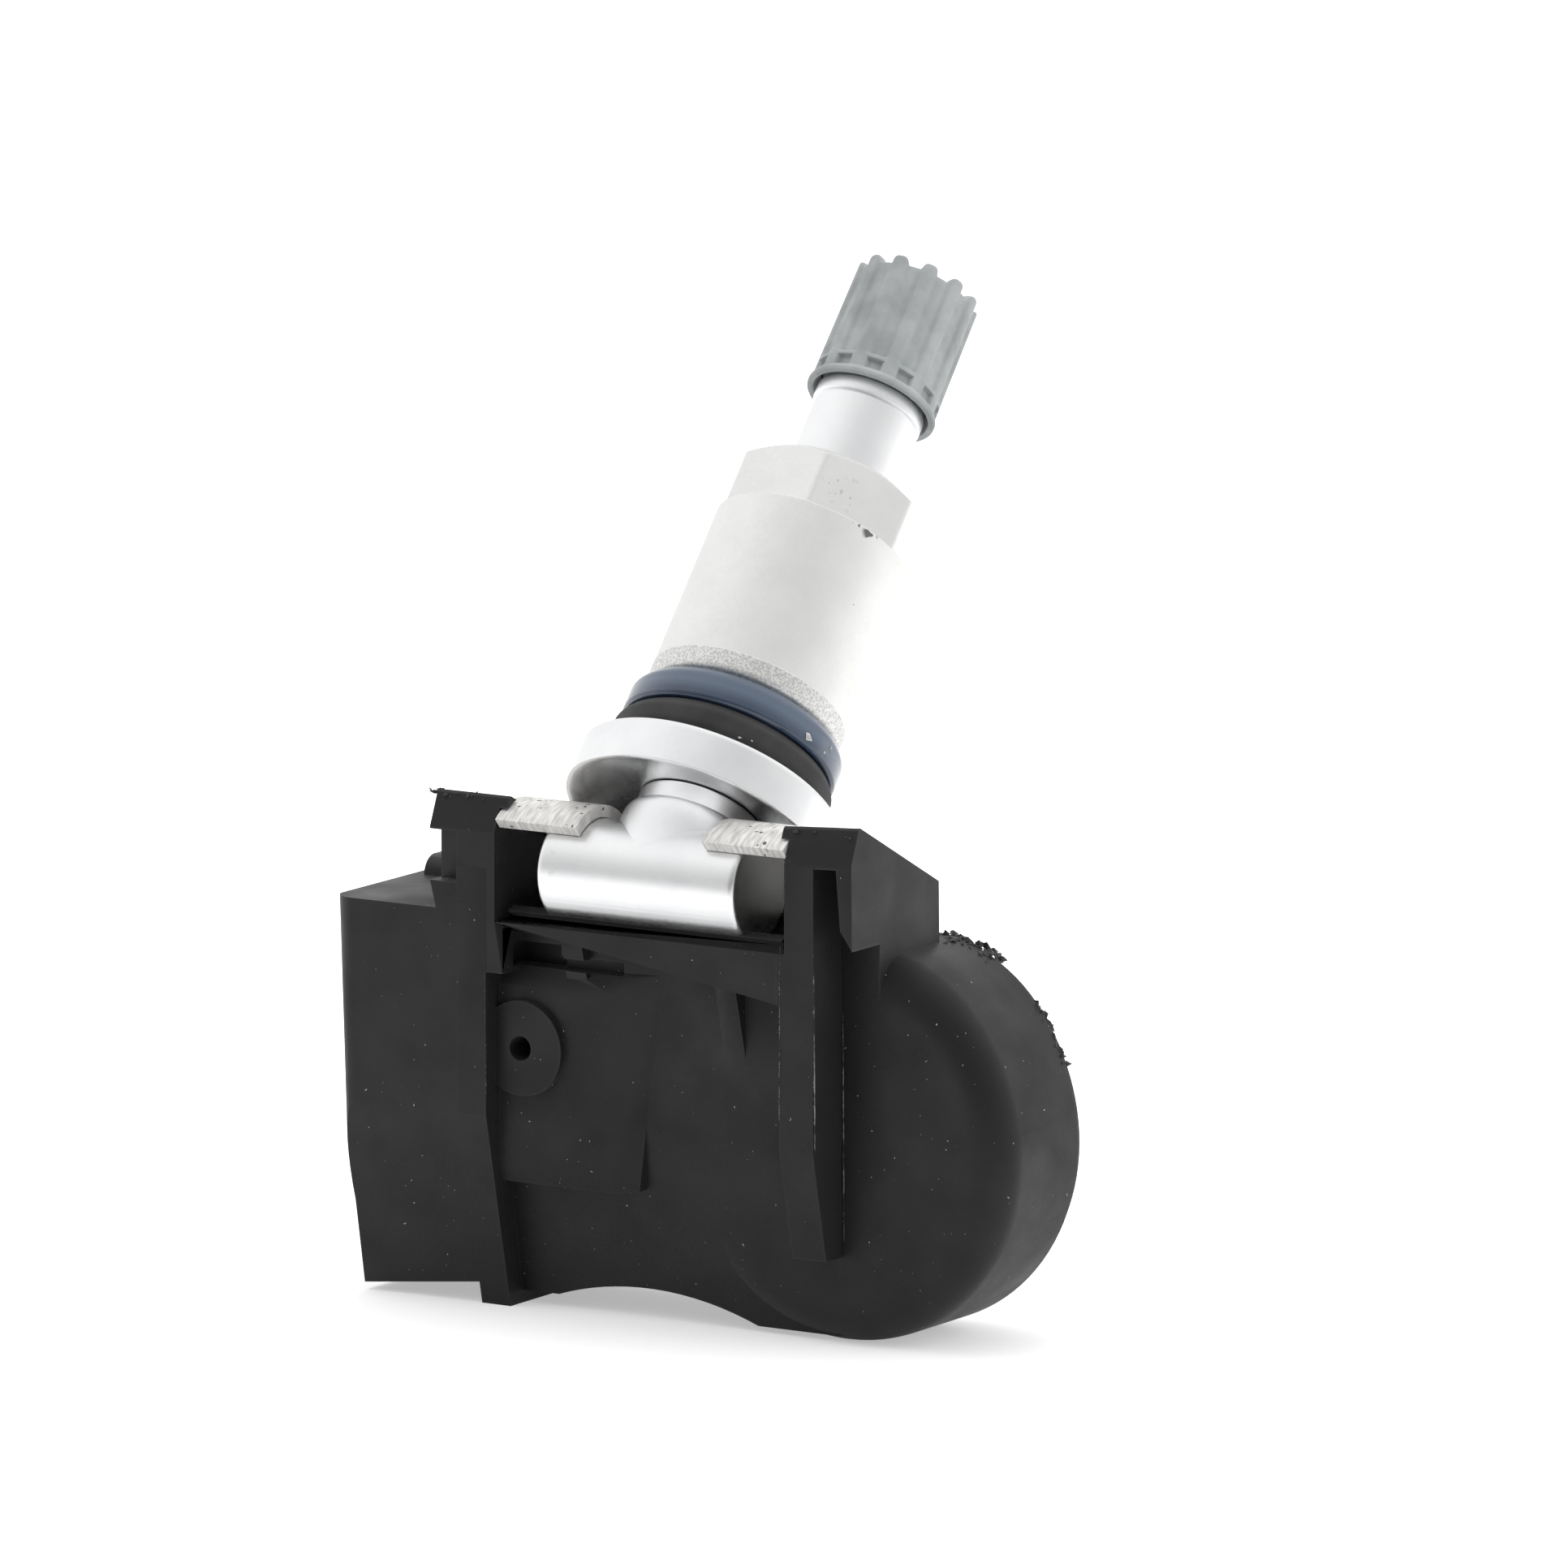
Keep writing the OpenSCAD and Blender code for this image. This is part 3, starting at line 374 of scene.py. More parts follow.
def spun(rows, angles, origin, axes, closed):
    """Surface of revolution: point = origin + radius (cos angle, sin angle) on the first two axes + station on
    the third, in mm. rows runs counter-clockwise in radius and station; a closed profile needs no ends."""
    rows = np.broadcast_to(rows, (rows.shape[0], len(angles), 2))
    radius, station = rows[..., :1] * 0.001, rows[..., 1:] * 0.001
    side, back, along = (np.array(axis) for axis in axes)
    outward = np.cos(angles)[:, None] * side + np.sin(angles)[:, None] * back
    points = np.array(origin) + radius * outward + station * along
    count, turns = points.shape[:2]
    i, j = np.meshgrid(np.arange(count if closed else count - 1), np.arange(turns), indexing="ij")
    up, on = (i + 1) % count, (j + 1) % turns
    faces = np.stack([i * turns + j, i * turns + on, up * turns + on, up * turns + j], -1).reshape(-1, 4).tolist()
    if not closed:
        faces += [list(range(turns))[::-1], list(range((count - 1) * turns, count * turns))]
    return points.reshape(-1, 3), faces


def piece_of(name, parts, nodes):
    """Joins several (points, faces) surfaces into one smooth object and lets it stand for CAD nodes."""
    points, faces, first = [], [], 0
    for part_points, part_faces in parts:
        points.append(part_points)
        faces += [[first + index for index in face] for face in part_faces]
        first += len(part_points)
    mesh = bpy.data.meshes.new(name)
    mesh.from_pydata(np.concatenate(points).tolist(), [], faces)
    mesh.polygons.foreach_set("use_smooth", np.ones(len(mesh.polygons), bool))
    piece = bpy.data.objects.new(name, mesh)
    scene.collection.objects.link(piece)
    if nodes:
        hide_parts(*nodes)
    return piece


# Marks in the stem's own frame: rings round the axis, a matt grain, and the place as station along the axis.
turning, given, result = effect(
    "turning_marks", {"Rings": 2600.0, "Grain": 2500.0},
    {"Height": "NodeSocketFloat", "Tone": "NodeSocketFloat", "Station": "NodeSocketFloat"})
place = shader(turning, "TexCoord").outputs["Object"]
moved = shader(turning, "VectorMath", {0: place, 1: tuple(stem_point)}, operation="SUBTRACT").outputs[0]
station = shader(turning, "VectorMath", {0: moved, 1: tuple(stem_axis)}, operation="DOT_PRODUCT").outputs["Value"]
line = shader(turning, "CombineXYZ", {"Z": station})
rings = shader(turning, "TexNoise", {"Vector": line.outputs[0], "Scale": given["Rings"], "Detail": 2.0})
matt = shader(turning, "TexNoise", {"Vector": place, "Scale": given["Grain"], "Detail": 3.0})
turning.links.new(rings.outputs["Fac"], result["Height"])
turning.links.new(matt.outputs["Fac"], result["Tone"])
turning.links.new(station, result["Station"])


def spot(tree, centre, radius):
    """Mask that is 1 at a point given in mm of the row frame and falls to 0 at its radius in mm."""
    place = shader(tree, "TexCoord").outputs["Object"]
    middle = tuple(0.001 * x for x in centre)
    away = shader(tree, "VectorMath", {0: place, 1: middle}, operation="DISTANCE").outputs["Value"]
    return ramp(tree, away, 0.0, 0.001 * radius, 1.0, 0.0)


def on_stem(angle, station, radius):
    """Point of the row frame, in mm, at an angle in degrees, a station and a radius from the stem's axis."""
    turn = math.radians(angle)
    outward = math.cos(turn) * across + math.sin(turn) * stem_back
    return tuple(stem_point * 1000 + radius * outward + station * stem_axis)


def aluminium(name, dark, pale, rough, ring_height, grain_height):
    """Anodised aluminium: metal ground of two near tones, turning rings and a matt grain as bumps."""
    made, tree, bsdf = material(name, rough, 1.0)
    marks = use(tree, turning, Rings=5200.0, Grain=4200.0)
    cloud = use(tree, grain, Fine=6000.0, Coarse=300.0)
    ground = two_tone(tree, cloud["Tone"], dark, pale, 0.3, 0.7)
    spots = use(tree, specks, Scale=520.0, Size=0.07, Share=0.008)["Mask"]
    ground = blend_colour(tree, spots, ground, (0.45, 0.45, 0.44, 1))
    tree.links.new(ground, bsdf.inputs["Base Color"])
    tree.links.new(ramp(tree, marks["Tone"], 0.3, 0.7, rough * 0.85, rough * 1.15), bsdf.inputs["Roughness"])
    low = shader(tree, "Bump", {"Strength": 0.15, "Distance": ring_height, "Height": marks["Height"]})
    high = emboss(tree, bsdf, marks["Tone"], 0.15, grain_height, Normal=low.outputs[0])
    return made, tree, bsdf, ground, high


stem_turns = np.linspace(0, 2 * np.pi, 128, endpoint=False)
collar = [(0.02, 2.0), (4.4, 2.0), (4.4, 5.94), (3.85, 6.05), (3.85, 14.0), (3.85, 30.6), (3.65, 31.0), (3.65, 37.75),
          (3.56, 37.78), (3.56, 37.86), (3.65, 37.9), (3.84, 37.95), (3.84, 38.9), (3.5, 39.1), (3.5, 39.4)]
collar_rows = softened(collar, [0.1, 0.15, 0.1, 0.1, 0.1, 0.15, 0.1, 0.02, 0.02, 0.02, 0.05, 0.06, 0.1])

# The valve thread: radius falls from crest to root as the helix turns, once in each pitch.
thread_pitch, thread_start, thread_depth = 0.794, 39.4, 0.42
thread_stations = np.arange(thread_start, 46.01, 0.06)[1:]
helix = (thread_stations[:, None] / thread_pitch - stem_turns[None, :] / (2 * np.pi)) % 1.0
depth = np.clip(np.abs(helix - 0.5) * 2.6 - 0.15, 0.0, 1.0) * thread_depth
run_in = np.clip((thread_stations - thread_start) / 0.5, 0.0, 1.0)[:, None]
thread_radius = (3.5 + 0.34 * run_in) - depth * run_in
thread_rows = np.stack([thread_radius, np.broadcast_to(thread_stations[:, None], thread_radius.shape)], -1)
mouth = [(3.4, 46.06), (3.1, 46.6), (2.85, 46.6), (2.75, 46.45), (2.75, 38.0), (1.9, 37.9), (1.9, 26.0), (1.3, 25.9),
         (1.3, 4.1), (0.02, 4.1)]
mouth_rows = softened(mouth, [0.1, 0.05, 0.05, 0.1, 0.1, 0.1, 0.1, 0.1])
wide = (1, len(stem_turns), 1)
stem_rows = np.concatenate([np.tile(collar_rows, wide), thread_rows, np.tile(mouth_rows, wide)])
shank = spun(stem_rows, stem_turns, stem_point, stem_axes, False)

# The neck stands on the foot; its lower end slopes up to the back to clear the cradle.
neck_radius, neck_top = 4.85, 4.7
neck_turns = np.linspace(0, 2 * np.pi, 144, endpoint=False)
slope = 0.25 * (1.25 + neck_radius * np.sin(neck_turns) + 3.6)
neck = profile_of(neck_turns, [(0.02, 0.25 * neck_radius), (neck_radius, slope), (neck_radius, neck_top),
                               (0.02, neck_top)])
neck = spun(softened(neck, [0.15, 0.9], 8), neck_turns, neck_point, stem_axes, False)

# The foot is a bar along X with soft ends; the fine dents at its left end and in its middle are in the finish.
bar = [(0.02, -7.8), (3.6, -7.8), (3.6, 7.8), (0.02, 7.8)]
bar = spun(softened(bar, [0.45, 0.45], 6), stem_turns, foot_point, (stem_axis, -stem_back, across), False)

stem_aluminium, tree, bsdf, ground, _ = aluminium(
    "stem_aluminium", (0.88, 0.885, 0.895, 1), (0.93, 0.935, 0.94, 1), 0.34, 0.000003, 0.000002)
# Darker streaks on the foot's lower side, a painted reflection of the dark housing below it, and dents at its left end
# and low in its middle.
place = shader(tree, "TexCoord").outputs["Object"]
stretched_place = shader(tree, "Mapping", {"Vector": place, "Scale": (60.0, 5200.0, 5200.0)}).outputs[0]
streaks = shader(tree, "TexNoise", {"Vector": stretched_place, "Scale": 1.0, "Detail": 3.0}).outputs["Fac"]
place_z = shader(tree, "SeparateXYZ", {"Vector": place}).outputs["Z"]
low_foot = ramp(tree, place_z, foot_point.z - 0.0036, foot_point.z - 0.0012, 1.0, 0.0)
# Only the foot's lower side takes the darker streaks: painted reflection of the housing under it.
painted_reflection = times(tree, ramp(tree, streaks, 0.45, 0.7, 0.0, 1.0), low_foot)
reflection_and_dents = blend_colour(tree, painted_reflection, ground, (0.5, 0.51, 0.52, 1))
dents = use(tree, specks, Scale=900.0, Size=0.35, Share=0.5)["Mask"]
for offset, radius in (((-6.9, -3.4, 0.9), 1.0), ((1.2, -2.6, -2.5), 1.6)):
    near = times(tree, spot(tree, foot_mm + np.array(offset), radius), dents)
    reflection_and_dents = blend_colour(tree, near, reflection_and_dents, (0.62, 0.62, 0.62, 1))
tree.links.new(reflection_and_dents, bsdf.inputs["Base Color"])
dress(piece_of("stem_body", [shank, neck, bar], ["valve_stem"]), stem_aluminium, "stem")


# SUPPORT WASHER
# Thick dished washer, turned from aluminium bar; its hollow underside rides over the foot's
# neck and lets the stem tilt. It sits loose on the stem's collar under the rubber seal.

# The dish is part of a sphere of 26 mm radius that meets the rim's lower face.
dish_sphere, dish_edge, washer_low = 26.0, 9.02, 4.75
dish_radii = np.linspace(dish_edge, 4.02, 14)
dish_stations = washer_low - math.sqrt(dish_sphere ** 2 - dish_edge ** 2) + np.sqrt(dish_sphere ** 2 - dish_radii ** 2)
washer_turns = np.linspace(0, 2 * np.pi, 160, endpoint=False)
washer_side = [(9.12, 4.75), (9.3, 4.77), (9.3, 7.85), (4.1, 7.85), (4.0, 7.75), (4.0, 6.2)]
washer_rows = np.concatenate([np.stack([dish_radii, dish_stations], -1)[::-1][:, None, :],
                              softened(washer_side, [0.06, 0.3, 0.05, 0.05])])
washer_aluminium = aluminium(
    "washer_aluminium", (0.83, 0.84, 0.85, 1), (0.9, 0.905, 0.91, 1), 0.24, 0.000006, 0.000003)[0]
dress(piece_of("dished_washer", [spun(washer_rows, washer_turns, stem_point, stem_axes, True)], ["support_washer"]),
      washer_aluminium, "stem")


# RUBBER SEAL
# Black rubber grommet: a soft-edged flange that seals on the rim and a neck that fills its hole.
# Moulded, pushed over the shank; pale crumbs of flash cling to it.

round_turns = np.linspace(0, 2 * np.pi, 144, endpoint=False)
seal_profile = [(5.2, 7.9), (7.2, 7.9), (7.85, 8.7), (7.85, 10.0), (7.3, 10.7), (5.65, 10.7), (5.65, 13.2),
                (3.95, 13.2), (3.9, 13.15), (3.9, 7.95), (4.0, 7.9), (5.2, 7.9)]
seal_rows = softened(seal_profile, [0.4, 0.6, 0.6, 0.35, 0.1, 0.2, 0.05, 0.05, 0.05, 0.05])[:-1]
rubber_black, tree, bsdf = material("rubber_black", 0.62, Specular_IOR_Level=0.35)
noise = use(tree, grain, Fine=3800.0, Coarse=420.0)
ground = two_tone(tree, noise["Tone"], (0.03, 0.03, 0.031, 1), (0.044, 0.044, 0.045, 1))
crumbs = use(tree, specks, Scale=420.0, Size=0.1, Share=0.01)["Mask"]
tree.links.new(blend_colour(tree, crumbs, ground, (0.6, 0.6, 0.58, 1)), bsdf.inputs["Base Color"])
emboss(tree, bsdf, noise["Height"], 0.4, 0.00002)
dress(piece_of("rim_grommet", [spun(seal_rows, round_turns, stem_point, stem_axes, True)], ["rubber_seal"]),
      rubber_black, "stem")


def chips(name, centres, outward, sizes, seed):
    """Irregular crumbs: each an octahedron of six points pushed about at random, flat against its surface.
    centres and outward are (n, 3) in mm, sizes (n, 3) in mm along the surface, across it and out of it."""
    chance = np.random.default_rng(seed)
    centres, outward, sizes = np.array(centres, float), np.array(outward, float), np.array(sizes, float)
    outward /= np.linalg.norm(outward, axis=1, keepdims=True)
    first = np.cross(outward, chance.normal(size=outward.shape))
    first /= np.linalg.norm(first, axis=1, keepdims=True)
    second = np.cross(outward, first)
    shape = np.array([(1, 0, 0), (-1, 0, 0), (0, 1, 0), (0, -1, 0), (0, 0, 1), (0, 0, -1)], float)
    local = (shape[None] + chance.normal(scale=0.22, size=(len(centres), 6, 3))) * sizes[:, None, :]
    points = centres[:, None] + local[..., :1] * first[:, None] + local[..., 1:2] * second[:, None]
    points = points + local[..., 2:] * outward[:, None]
    faces = np.array([(0, 2, 4), (2, 1, 4), (1, 3, 4), (3, 0, 4), (2, 0, 5), (1, 2, 5), (3, 1, 5), (0, 3, 5)])
    faces = (faces[None] + 6 * np.arange(len(centres))[:, None, None]).reshape(-1, 3)
    made = piece_of(name, [(points.reshape(-1, 3) * 0.001, faces.tolist())], [])
    made.data.polygons.foreach_set("use_smooth", np.zeros(len(made.data.polygons), bool))
    return made


crumb_white, tree, bsdf = material("crumb_white", 0.5, Specular_IOR_Level=0.4)
noise = use(tree, grain, Fine=5000.0, Coarse=1500.0)
pale_crumb = two_tone(tree, noise["Tone"], (0.55, 0.55, 0.53, 1), (0.75, 0.75, 0.73, 1))
tree.links.new(pale_crumb, bsdf.inputs["Base Color"])


def stem_crumbs(name, body, marks, seed):
    """Crumbs on round pieces of the stem; marks holds (angle, station, radius, size) for each."""
    centres = [on_stem(angle, station, radius) for angle, station, radius, size in marks]
    outward = [tuple(math.cos(math.radians(m[0])) * across + math.sin(math.radians(m[0])) * stem_back) for m in marks]
    made = chips(name, centres, outward, [(m[3], m[3] * 0.6, m[3] * 0.4) for m in marks], seed)
    return dress(made, crumb_white, body)


stem_crumbs("grommet_crumbs", "stem", [(-51.8, 8.7, 7.84, 0.13), (-45.6, 8.85, 7.84, 0.1), (-70, 8.4, 7.7, 0.05),
                                       (-24.3, 4.85, 9.25, 0.12), (-110.0, 4.1, 4.75, 0.1), (-98.0, 4.0, 4.75, 0.07),
                                       (-128.0, 4.0, 4.75, 0.07)], 3)


# RING
# Translucent navy plastic ring between seal and nut, so that the nut turns without wringing
# the rubber. Moulded, smooth and glossy; it travels with the nut. Pale chips of flash cling to it.

ring_profile = [(6.6, 10.75), (7.45, 10.75), (7.62, 11.0), (7.62, 12.6), (7.2, 13.2), (5.8, 13.2), (5.8, 10.75),
                (6.6, 10.75)]
ring_rows = softened(ring_profile, [0.12, 0.12, 0.5, 0.3, 0.05, 0.05])[:-1]
ring_blue, tree, bsdf = material(
    "ring_blue", 0.14, IOR=1.45, Transmission_Weight=0.35, Coat_Weight=0.5, Coat_Roughness=0.1)
noise = use(tree, grain, Fine=2500.0, Coarse=300.0)
marks = use(tree, turning, Rings=700.0)
cloud = two_tone(tree, noise["Tone"], (0.05, 0.08, 0.14, 1), (0.07, 0.11, 0.18, 1))
# The paler belt round the ring's middle is a painted highlight, a painted reflection of the white surround.
band = times(tree, ramp(tree, marks["Station"], 0.0113, 0.012, 0.0, 1.0),
             ramp(tree, marks["Station"], 0.0123, 0.0131, 1.0, 0.0))
tree.links.new(blend_colour(tree, band, cloud, (0.16, 0.22, 0.31, 1)), bsdf.inputs["Base Color"])
dress(piece_of("slip_ring", [spun(ring_rows, round_turns, stem_point, stem_axes, True)], ["blue_ring"]),
      ring_blue, "ring")
stem_crumbs("ring_crumbs", "ring", [(-17.4, 11.5, 7.62, 0.42), (2.1, 12.1, 7.62, 0.4), (-2.0, 11.5, 7.62, 0.2),
                                    (-119.2, 11.6, 7.62, 0.07)], 8)


# NUT
# Long round nut with a hexagon end, machined from bar, tumbled and anodised, so it is matt with
# a fine grain. It screws down the stem's thread and clamps ring, rim and seal on the washer.

# Columns crowd round the six corners, where the hexagon's radius changes fastest.
share = np.linspace(-1.0, 1.0, 25)[:-1]
within = np.sign(share) * (1.0 - (1.0 - np.abs(share)) ** 1.8) * math.radians(30)
flat_turns = math.radians(23.0) + np.radians(60.0 * np.arange(6))
nut_turns = (flat_turns[:, None] + within[None, :]).ravel()
# Six flats, half of 12 mm from the axis, joined by the 90th power's norm; corners turned down to 6.86.
half_flats, corner_reach, nut_low, nut_top = 6.0, 6.86, 13.25, 32.05
facing = np.cos(nut_turns[:, None] - flat_turns[None, :])
hexagon = (np.sum(np.maximum(facing / half_flats, 0.0) ** 90, axis=1)) ** (-1 / 90)
hexagon = np.minimum(hexagon, corner_reach)
bevel_start = nut_top - 0.9 * (hexagon - 5.5) / 1.4
nut_profile = profile_of(nut_turns, [
    (5.2, nut_low), (6.4, nut_low), (6.9, 13.7), (6.93, 15.0), (6.9, 15.05), (6.9, 27.3), (hexagon, 27.36),
    (hexagon, bevel_start), (5.5, nut_top), (4.75, nut_top), (3.9, 31.2), (3.9, 14.1), (4.75, nut_low), (5.2, nut_low)])
nut_rows = softened(nut_profile, [0.15, 0.2, 0.05, 0.05, 0.07, 0.05, 0.08, 0.06, 0.06, 0.1, 0.1, 0.06])[:-1]
nut_aluminium, tree, bsdf, ground, bump = aluminium(
    "nut_aluminium", (0.86, 0.86, 0.845, 1), (0.91, 0.91, 0.895, 1), 0.55, 0.000002, 0.000004)
marks = use(tree, turning, Rings=5200.0, Grain=6500.0)
band = ramp(tree, marks["Station"], 0.01498, 0.01504, 1.0, 0.0)
gritty = times(tree, ramp(tree, marks["Tone"], 0.42, 0.6, 0.0, 1.0), band)
ground = blend_colour(tree, gritty, ground, (0.62, 0.62, 0.61, 1))
pits = use(tree, specks, Scale=2100.0, Size=0.3, Share=0.42)["Mask"]
pitted = times(tree, pits, ramp(tree, spot(tree, on_stem(-51.7, 29.2, 6.2), 2.1), 0.1, 0.7, 0.0, 0.8))
ground = blend_colour(tree, pitted, ground, (0.66, 0.66, 0.65, 1))
torn = use(tree, specks, Scale=1500.0, Size=0.5, Share=0.8)["Mask"]
for angle, station, radius in ((-26.3, 27.2, 0.75), (29.1, 27.2, 0.5), (-36.0, 27.3, 0.4)):
    nick = times(tree, ramp(tree, spot(tree, on_stem(angle, station, 6.9), radius), 0.0, 0.4, 0.0, 1.0), torn)
    ground = blend_colour(tree, nick, ground, (0.2, 0.2, 0.2, 1))
tree.links.new(ground, bsdf.inputs["Base Color"])
emboss(tree, bsdf, pitted, 0.6, 0.00003, Normal=bump.outputs[0]).invert = True
dress(piece_of("clamping_nut", [spun(nut_rows, nut_turns, stem_point, stem_axes, True)], ["nut"]),
      nut_aluminium, "nut")


# MOULDING FLASH AND PAINTED EDGE HIGHLIGHTS
# Torn black flash left where the cover is welded on and burrs on the ears' corners, both the housing's own
# nylon, squeezed out and never trimmed. Thin ridges along the rails and the round end are painted pale: painted
# highlights on those edges.

chance = np.random.default_rng(21)


def around_lobe(angle, depth, radius):
    """Points on the round end in mm of the row frame; angle in degrees, depth from the foot's axis."""
    turn = np.radians(angle)
    return foot_mm + np.stack([lobe_x + radius * np.cos(turn), depth, lobe_z + radius * np.sin(turn)], -1)


def crumb_sizes(count, *limits):
    """Random sizes along, across and out of the surface, each between its two limits in mm."""
    return np.stack([chance.uniform(low, high, count) for low, high in limits], -1)


# One torn patch of crumbs on the shoulder and a chipped edge below it.
patch, chipped = 70, 26
angle = np.concatenate([chance.uniform(60, 79, patch), chance.uniform(24, 44, chipped)])
depth = 10.2 + np.concatenate([chance.normal(0, 0.65, patch), chance.normal(0.1, 0.3, chipped)])
torn = around_lobe(angle, depth, 13.2 + shoulder(np.radians(angle)))
sizes = crumb_sizes(patch + chipped, (0.25, 0.6), (0.15, 0.4), (0.1, 0.28))
weld_flash = chips("weld_flash", torn, torn - around_lobe(angle, depth, 0.0), sizes, 5)
dress(weld_flash, housing_black, "housing")

# Three burrs make the spike on the left ear; the others are strewn along both ears' upper edges.
corner_x = np.concatenate([[-16.9, -17.25, -16.6], chance.uniform(-16.6, -12.9, 9), chance.uniform(11.2, 16.5, 8)])
corner_y = np.concatenate([[-1.85, -1.9, -1.6], chance.uniform(-2.2, -1.6, 17)])
corner_z = np.concatenate([[4.62, 4.75, 4.75], chance.uniform(4.5, 4.75, 17)])
burr_size = np.concatenate([[(0.55, 0.16, 0.14), (0.45, 0.1, 0.08), (0.4, 0.3, 0.16)],
                            crumb_sizes(17, (0.12, 0.34), (0.08, 0.2), (0.06, 0.16))])
burrs = chips("ear_burrs", np.stack([corner_x, corner_y, corner_z], -1) + foot_mm,
              np.tile([(0.0, -0.5, 1.0)], (20, 1)), burr_size, 12)
dress(burrs, housing_black, "housing")

# The ridges' pale grey is a painted highlight along the rail and lobe edges, over a ridge of real shape.
pale_ridge_highlight, tree, bsdf = material("pale_ridge_highlight", 0.6, Specular_IOR_Level=0.4)
noise = use(tree, grain, Fine=5200.0, Coarse=900.0)
ridge_highlight_tone = two_tone(tree, noise["Tone"], (0.03, 0.03, 0.032, 1), (0.3, 0.3, 0.3, 1), 0.42, 0.62)
tree.links.new(ridge_highlight_tone, bsdf.inputs["Base Color"])


def ridge(name, path, width, height, seed):
    """Thin triangular ridge down a path (n, 3) in mm: two feet to each side along X and a crest towards
    -Y, whose height and place waver from point to point as noise; both ends run out to nothing."""
    noise = np.random.default_rng(seed).normal(size=(2, len(path)))
    share = np.linspace(0, 1, len(path))
    taper = np.minimum(1.0, 6.0 * np.minimum(share, 1.0 - share) + 0.05)
    tall = height * taper * np.clip(0.6 + 0.45 * noise[0], 0.1, 1.6)
    level = np.zeros(len(path))
    left = path + np.stack([-width * taper, level + 0.02, level], -1)
    right = path + np.stack([width * taper, level + 0.02, level], -1)
    crest = path + np.stack([0.4 * width * noise[1], -tall, level], -1)
    points = np.stack([left, crest, right], 1).reshape(-1, 3) * 0.001
    start = 3 * np.arange(len(path) - 1)[:, None]
    faces = np.concatenate([start + np.array([b, a, a + 3, b + 3]) for a, b in ((0, 1), (1, 2), (2, 0))]).tolist()
    faces += [[0, 1, 2], [len(points) - 1, len(points) - 2, len(points) - 3]]
    # The pale colour is a painted highlight along the edge the ridge follows.
    return dress(piece_of(name, [(points, faces)], []), pale_ridge_highlight, "housing")


def front_path(x0, x1, z0, z1, y):
    """Straight path on a front face from (x0, z0) to (x1, z1), in mm from the foot's axis."""
    share = np.linspace(0.0, 1.0, 160)[:, None]
    ends = np.array([(x0, y, z0), (x1, y, z1)]) + foot_mm
    return ends[0] + share * (ends[1] - ends[0])


rail_front = -2.93
ridge("rail_ridge_highlight_inner", front_path(11.16, 11.1, -3.0, -16.6, rail_front), 0.05, 0.09, 1)
ridge("rail_ridge_highlight_outer", front_path(13.78, 13.9, -3.4, -16.6, rail_front), 0.05, 0.08, 2)
ridge("rail_ridge_highlight_left", front_path(-12.26, -12.22, -5.0, -16.6, rail_front), 0.04, 0.06, 3)
ridge("lobe_ridge_highlight", front_path(13.95, 14.05, -8.0, -23.4, 0.5), 0.04, 0.06, 4)


# VALVE CORE
# Brass core screwed into the stem's bore: barrel with a drive, red seal, spring pin and its
# rubber-faced cup, held shut by a wire spring. Pressing the pin opens the valve.

core_finishes = {
    "core_barrel": ((0.6, 0.42, 0.15, 1), (0.74, 0.55, 0.22, 1), 0.28, 1.0),
    "core_seal": ((0.3, 0.04, 0.025, 1), (0.38, 0.06, 0.035, 1), 0.5, 0.0),
    "core_pin": ((0.64, 0.46, 0.18, 1), (0.78, 0.6, 0.26, 1), 0.25, 1.0),
    "core_cup": ((0.025, 0.025, 0.026, 1), (0.04, 0.04, 0.042, 1), 0.6, 0.0),
    "core_spring": ((0.5, 0.5, 0.52, 1), (0.66, 0.66, 0.68, 1), 0.25, 1.0),
}
for node, values in core_finishes.items():
    paint(node, plain_finish(node + "_finish", *values))


# VALVE CAP
# Ribbed grey nylon cap that keeps dirt out of the valve, with a rubber disc in its crown.
# Moulded, with small windows above the skirt; it screws on the stem's end.

cap_grey, tree, bsdf = material("cap_grey", 0.55, Specular_IOR_Level=0.4)
noise = use(tree, grain, Fine=3600.0, Coarse=520.0)
ground = two_tone(tree, noise["Tone"], (0.33, 0.35, 0.355, 1), (0.44, 0.46, 0.465, 1))
worn = use(tree, edge_wear, Radius=0.0002, Strength=2.0)["Mask"]
ground = blend_colour(tree, worn, ground, (0.42, 0.435, 0.44, 1))
tree.links.new(ground, bsdf.inputs["Base Color"])
emboss(tree, bsdf, noise["Height"], 0.4, 0.00003)

# Twelve ribs of round section on a barrel, higher than the crown and rounded at their ends; a
# window sinks into the band above the skirt at every valley between them.
first_rib, rib_pitch = math.radians(9.0), math.radians(30.0)
cap_turns = np.linspace(0, 2 * np.pi, 12 * 26, endpoint=False) + first_rib
from_rib = (cap_turns - first_rib + rib_pitch / 2) % rib_pitch - rib_pitch / 2
root, proud, band, sunk = 4.16, 0.28, 4.44, 0.36
hump = np.clip(1.0 - (np.abs(from_rib) / math.radians(8.2)) ** 3.2, 0.0, 1.0) ** 0.55
rib = root + proud * hump
window = band - sunk * np.clip((np.abs(from_rib) - math.radians(7.4)) / math.radians(1.0), 0.0, 1.0)
crown = 47.9 + 0.5 * hump
cap_profile = profile_of(cap_turns, [
    (0.02, 47.3), (3.92, 47.3), (3.92, 39.6), (4.16, 38.8), (4.58, 38.8), (4.62, 39.1), (band, 39.4), (window, 39.46),
    (window, 40.15), (band, 40.2), (band, 40.4), (rib, 40.6), (rib - 0.08, crown), (rib - 0.7, crown),
    (root - 0.75, 47.9), (0.02, 47.92)])
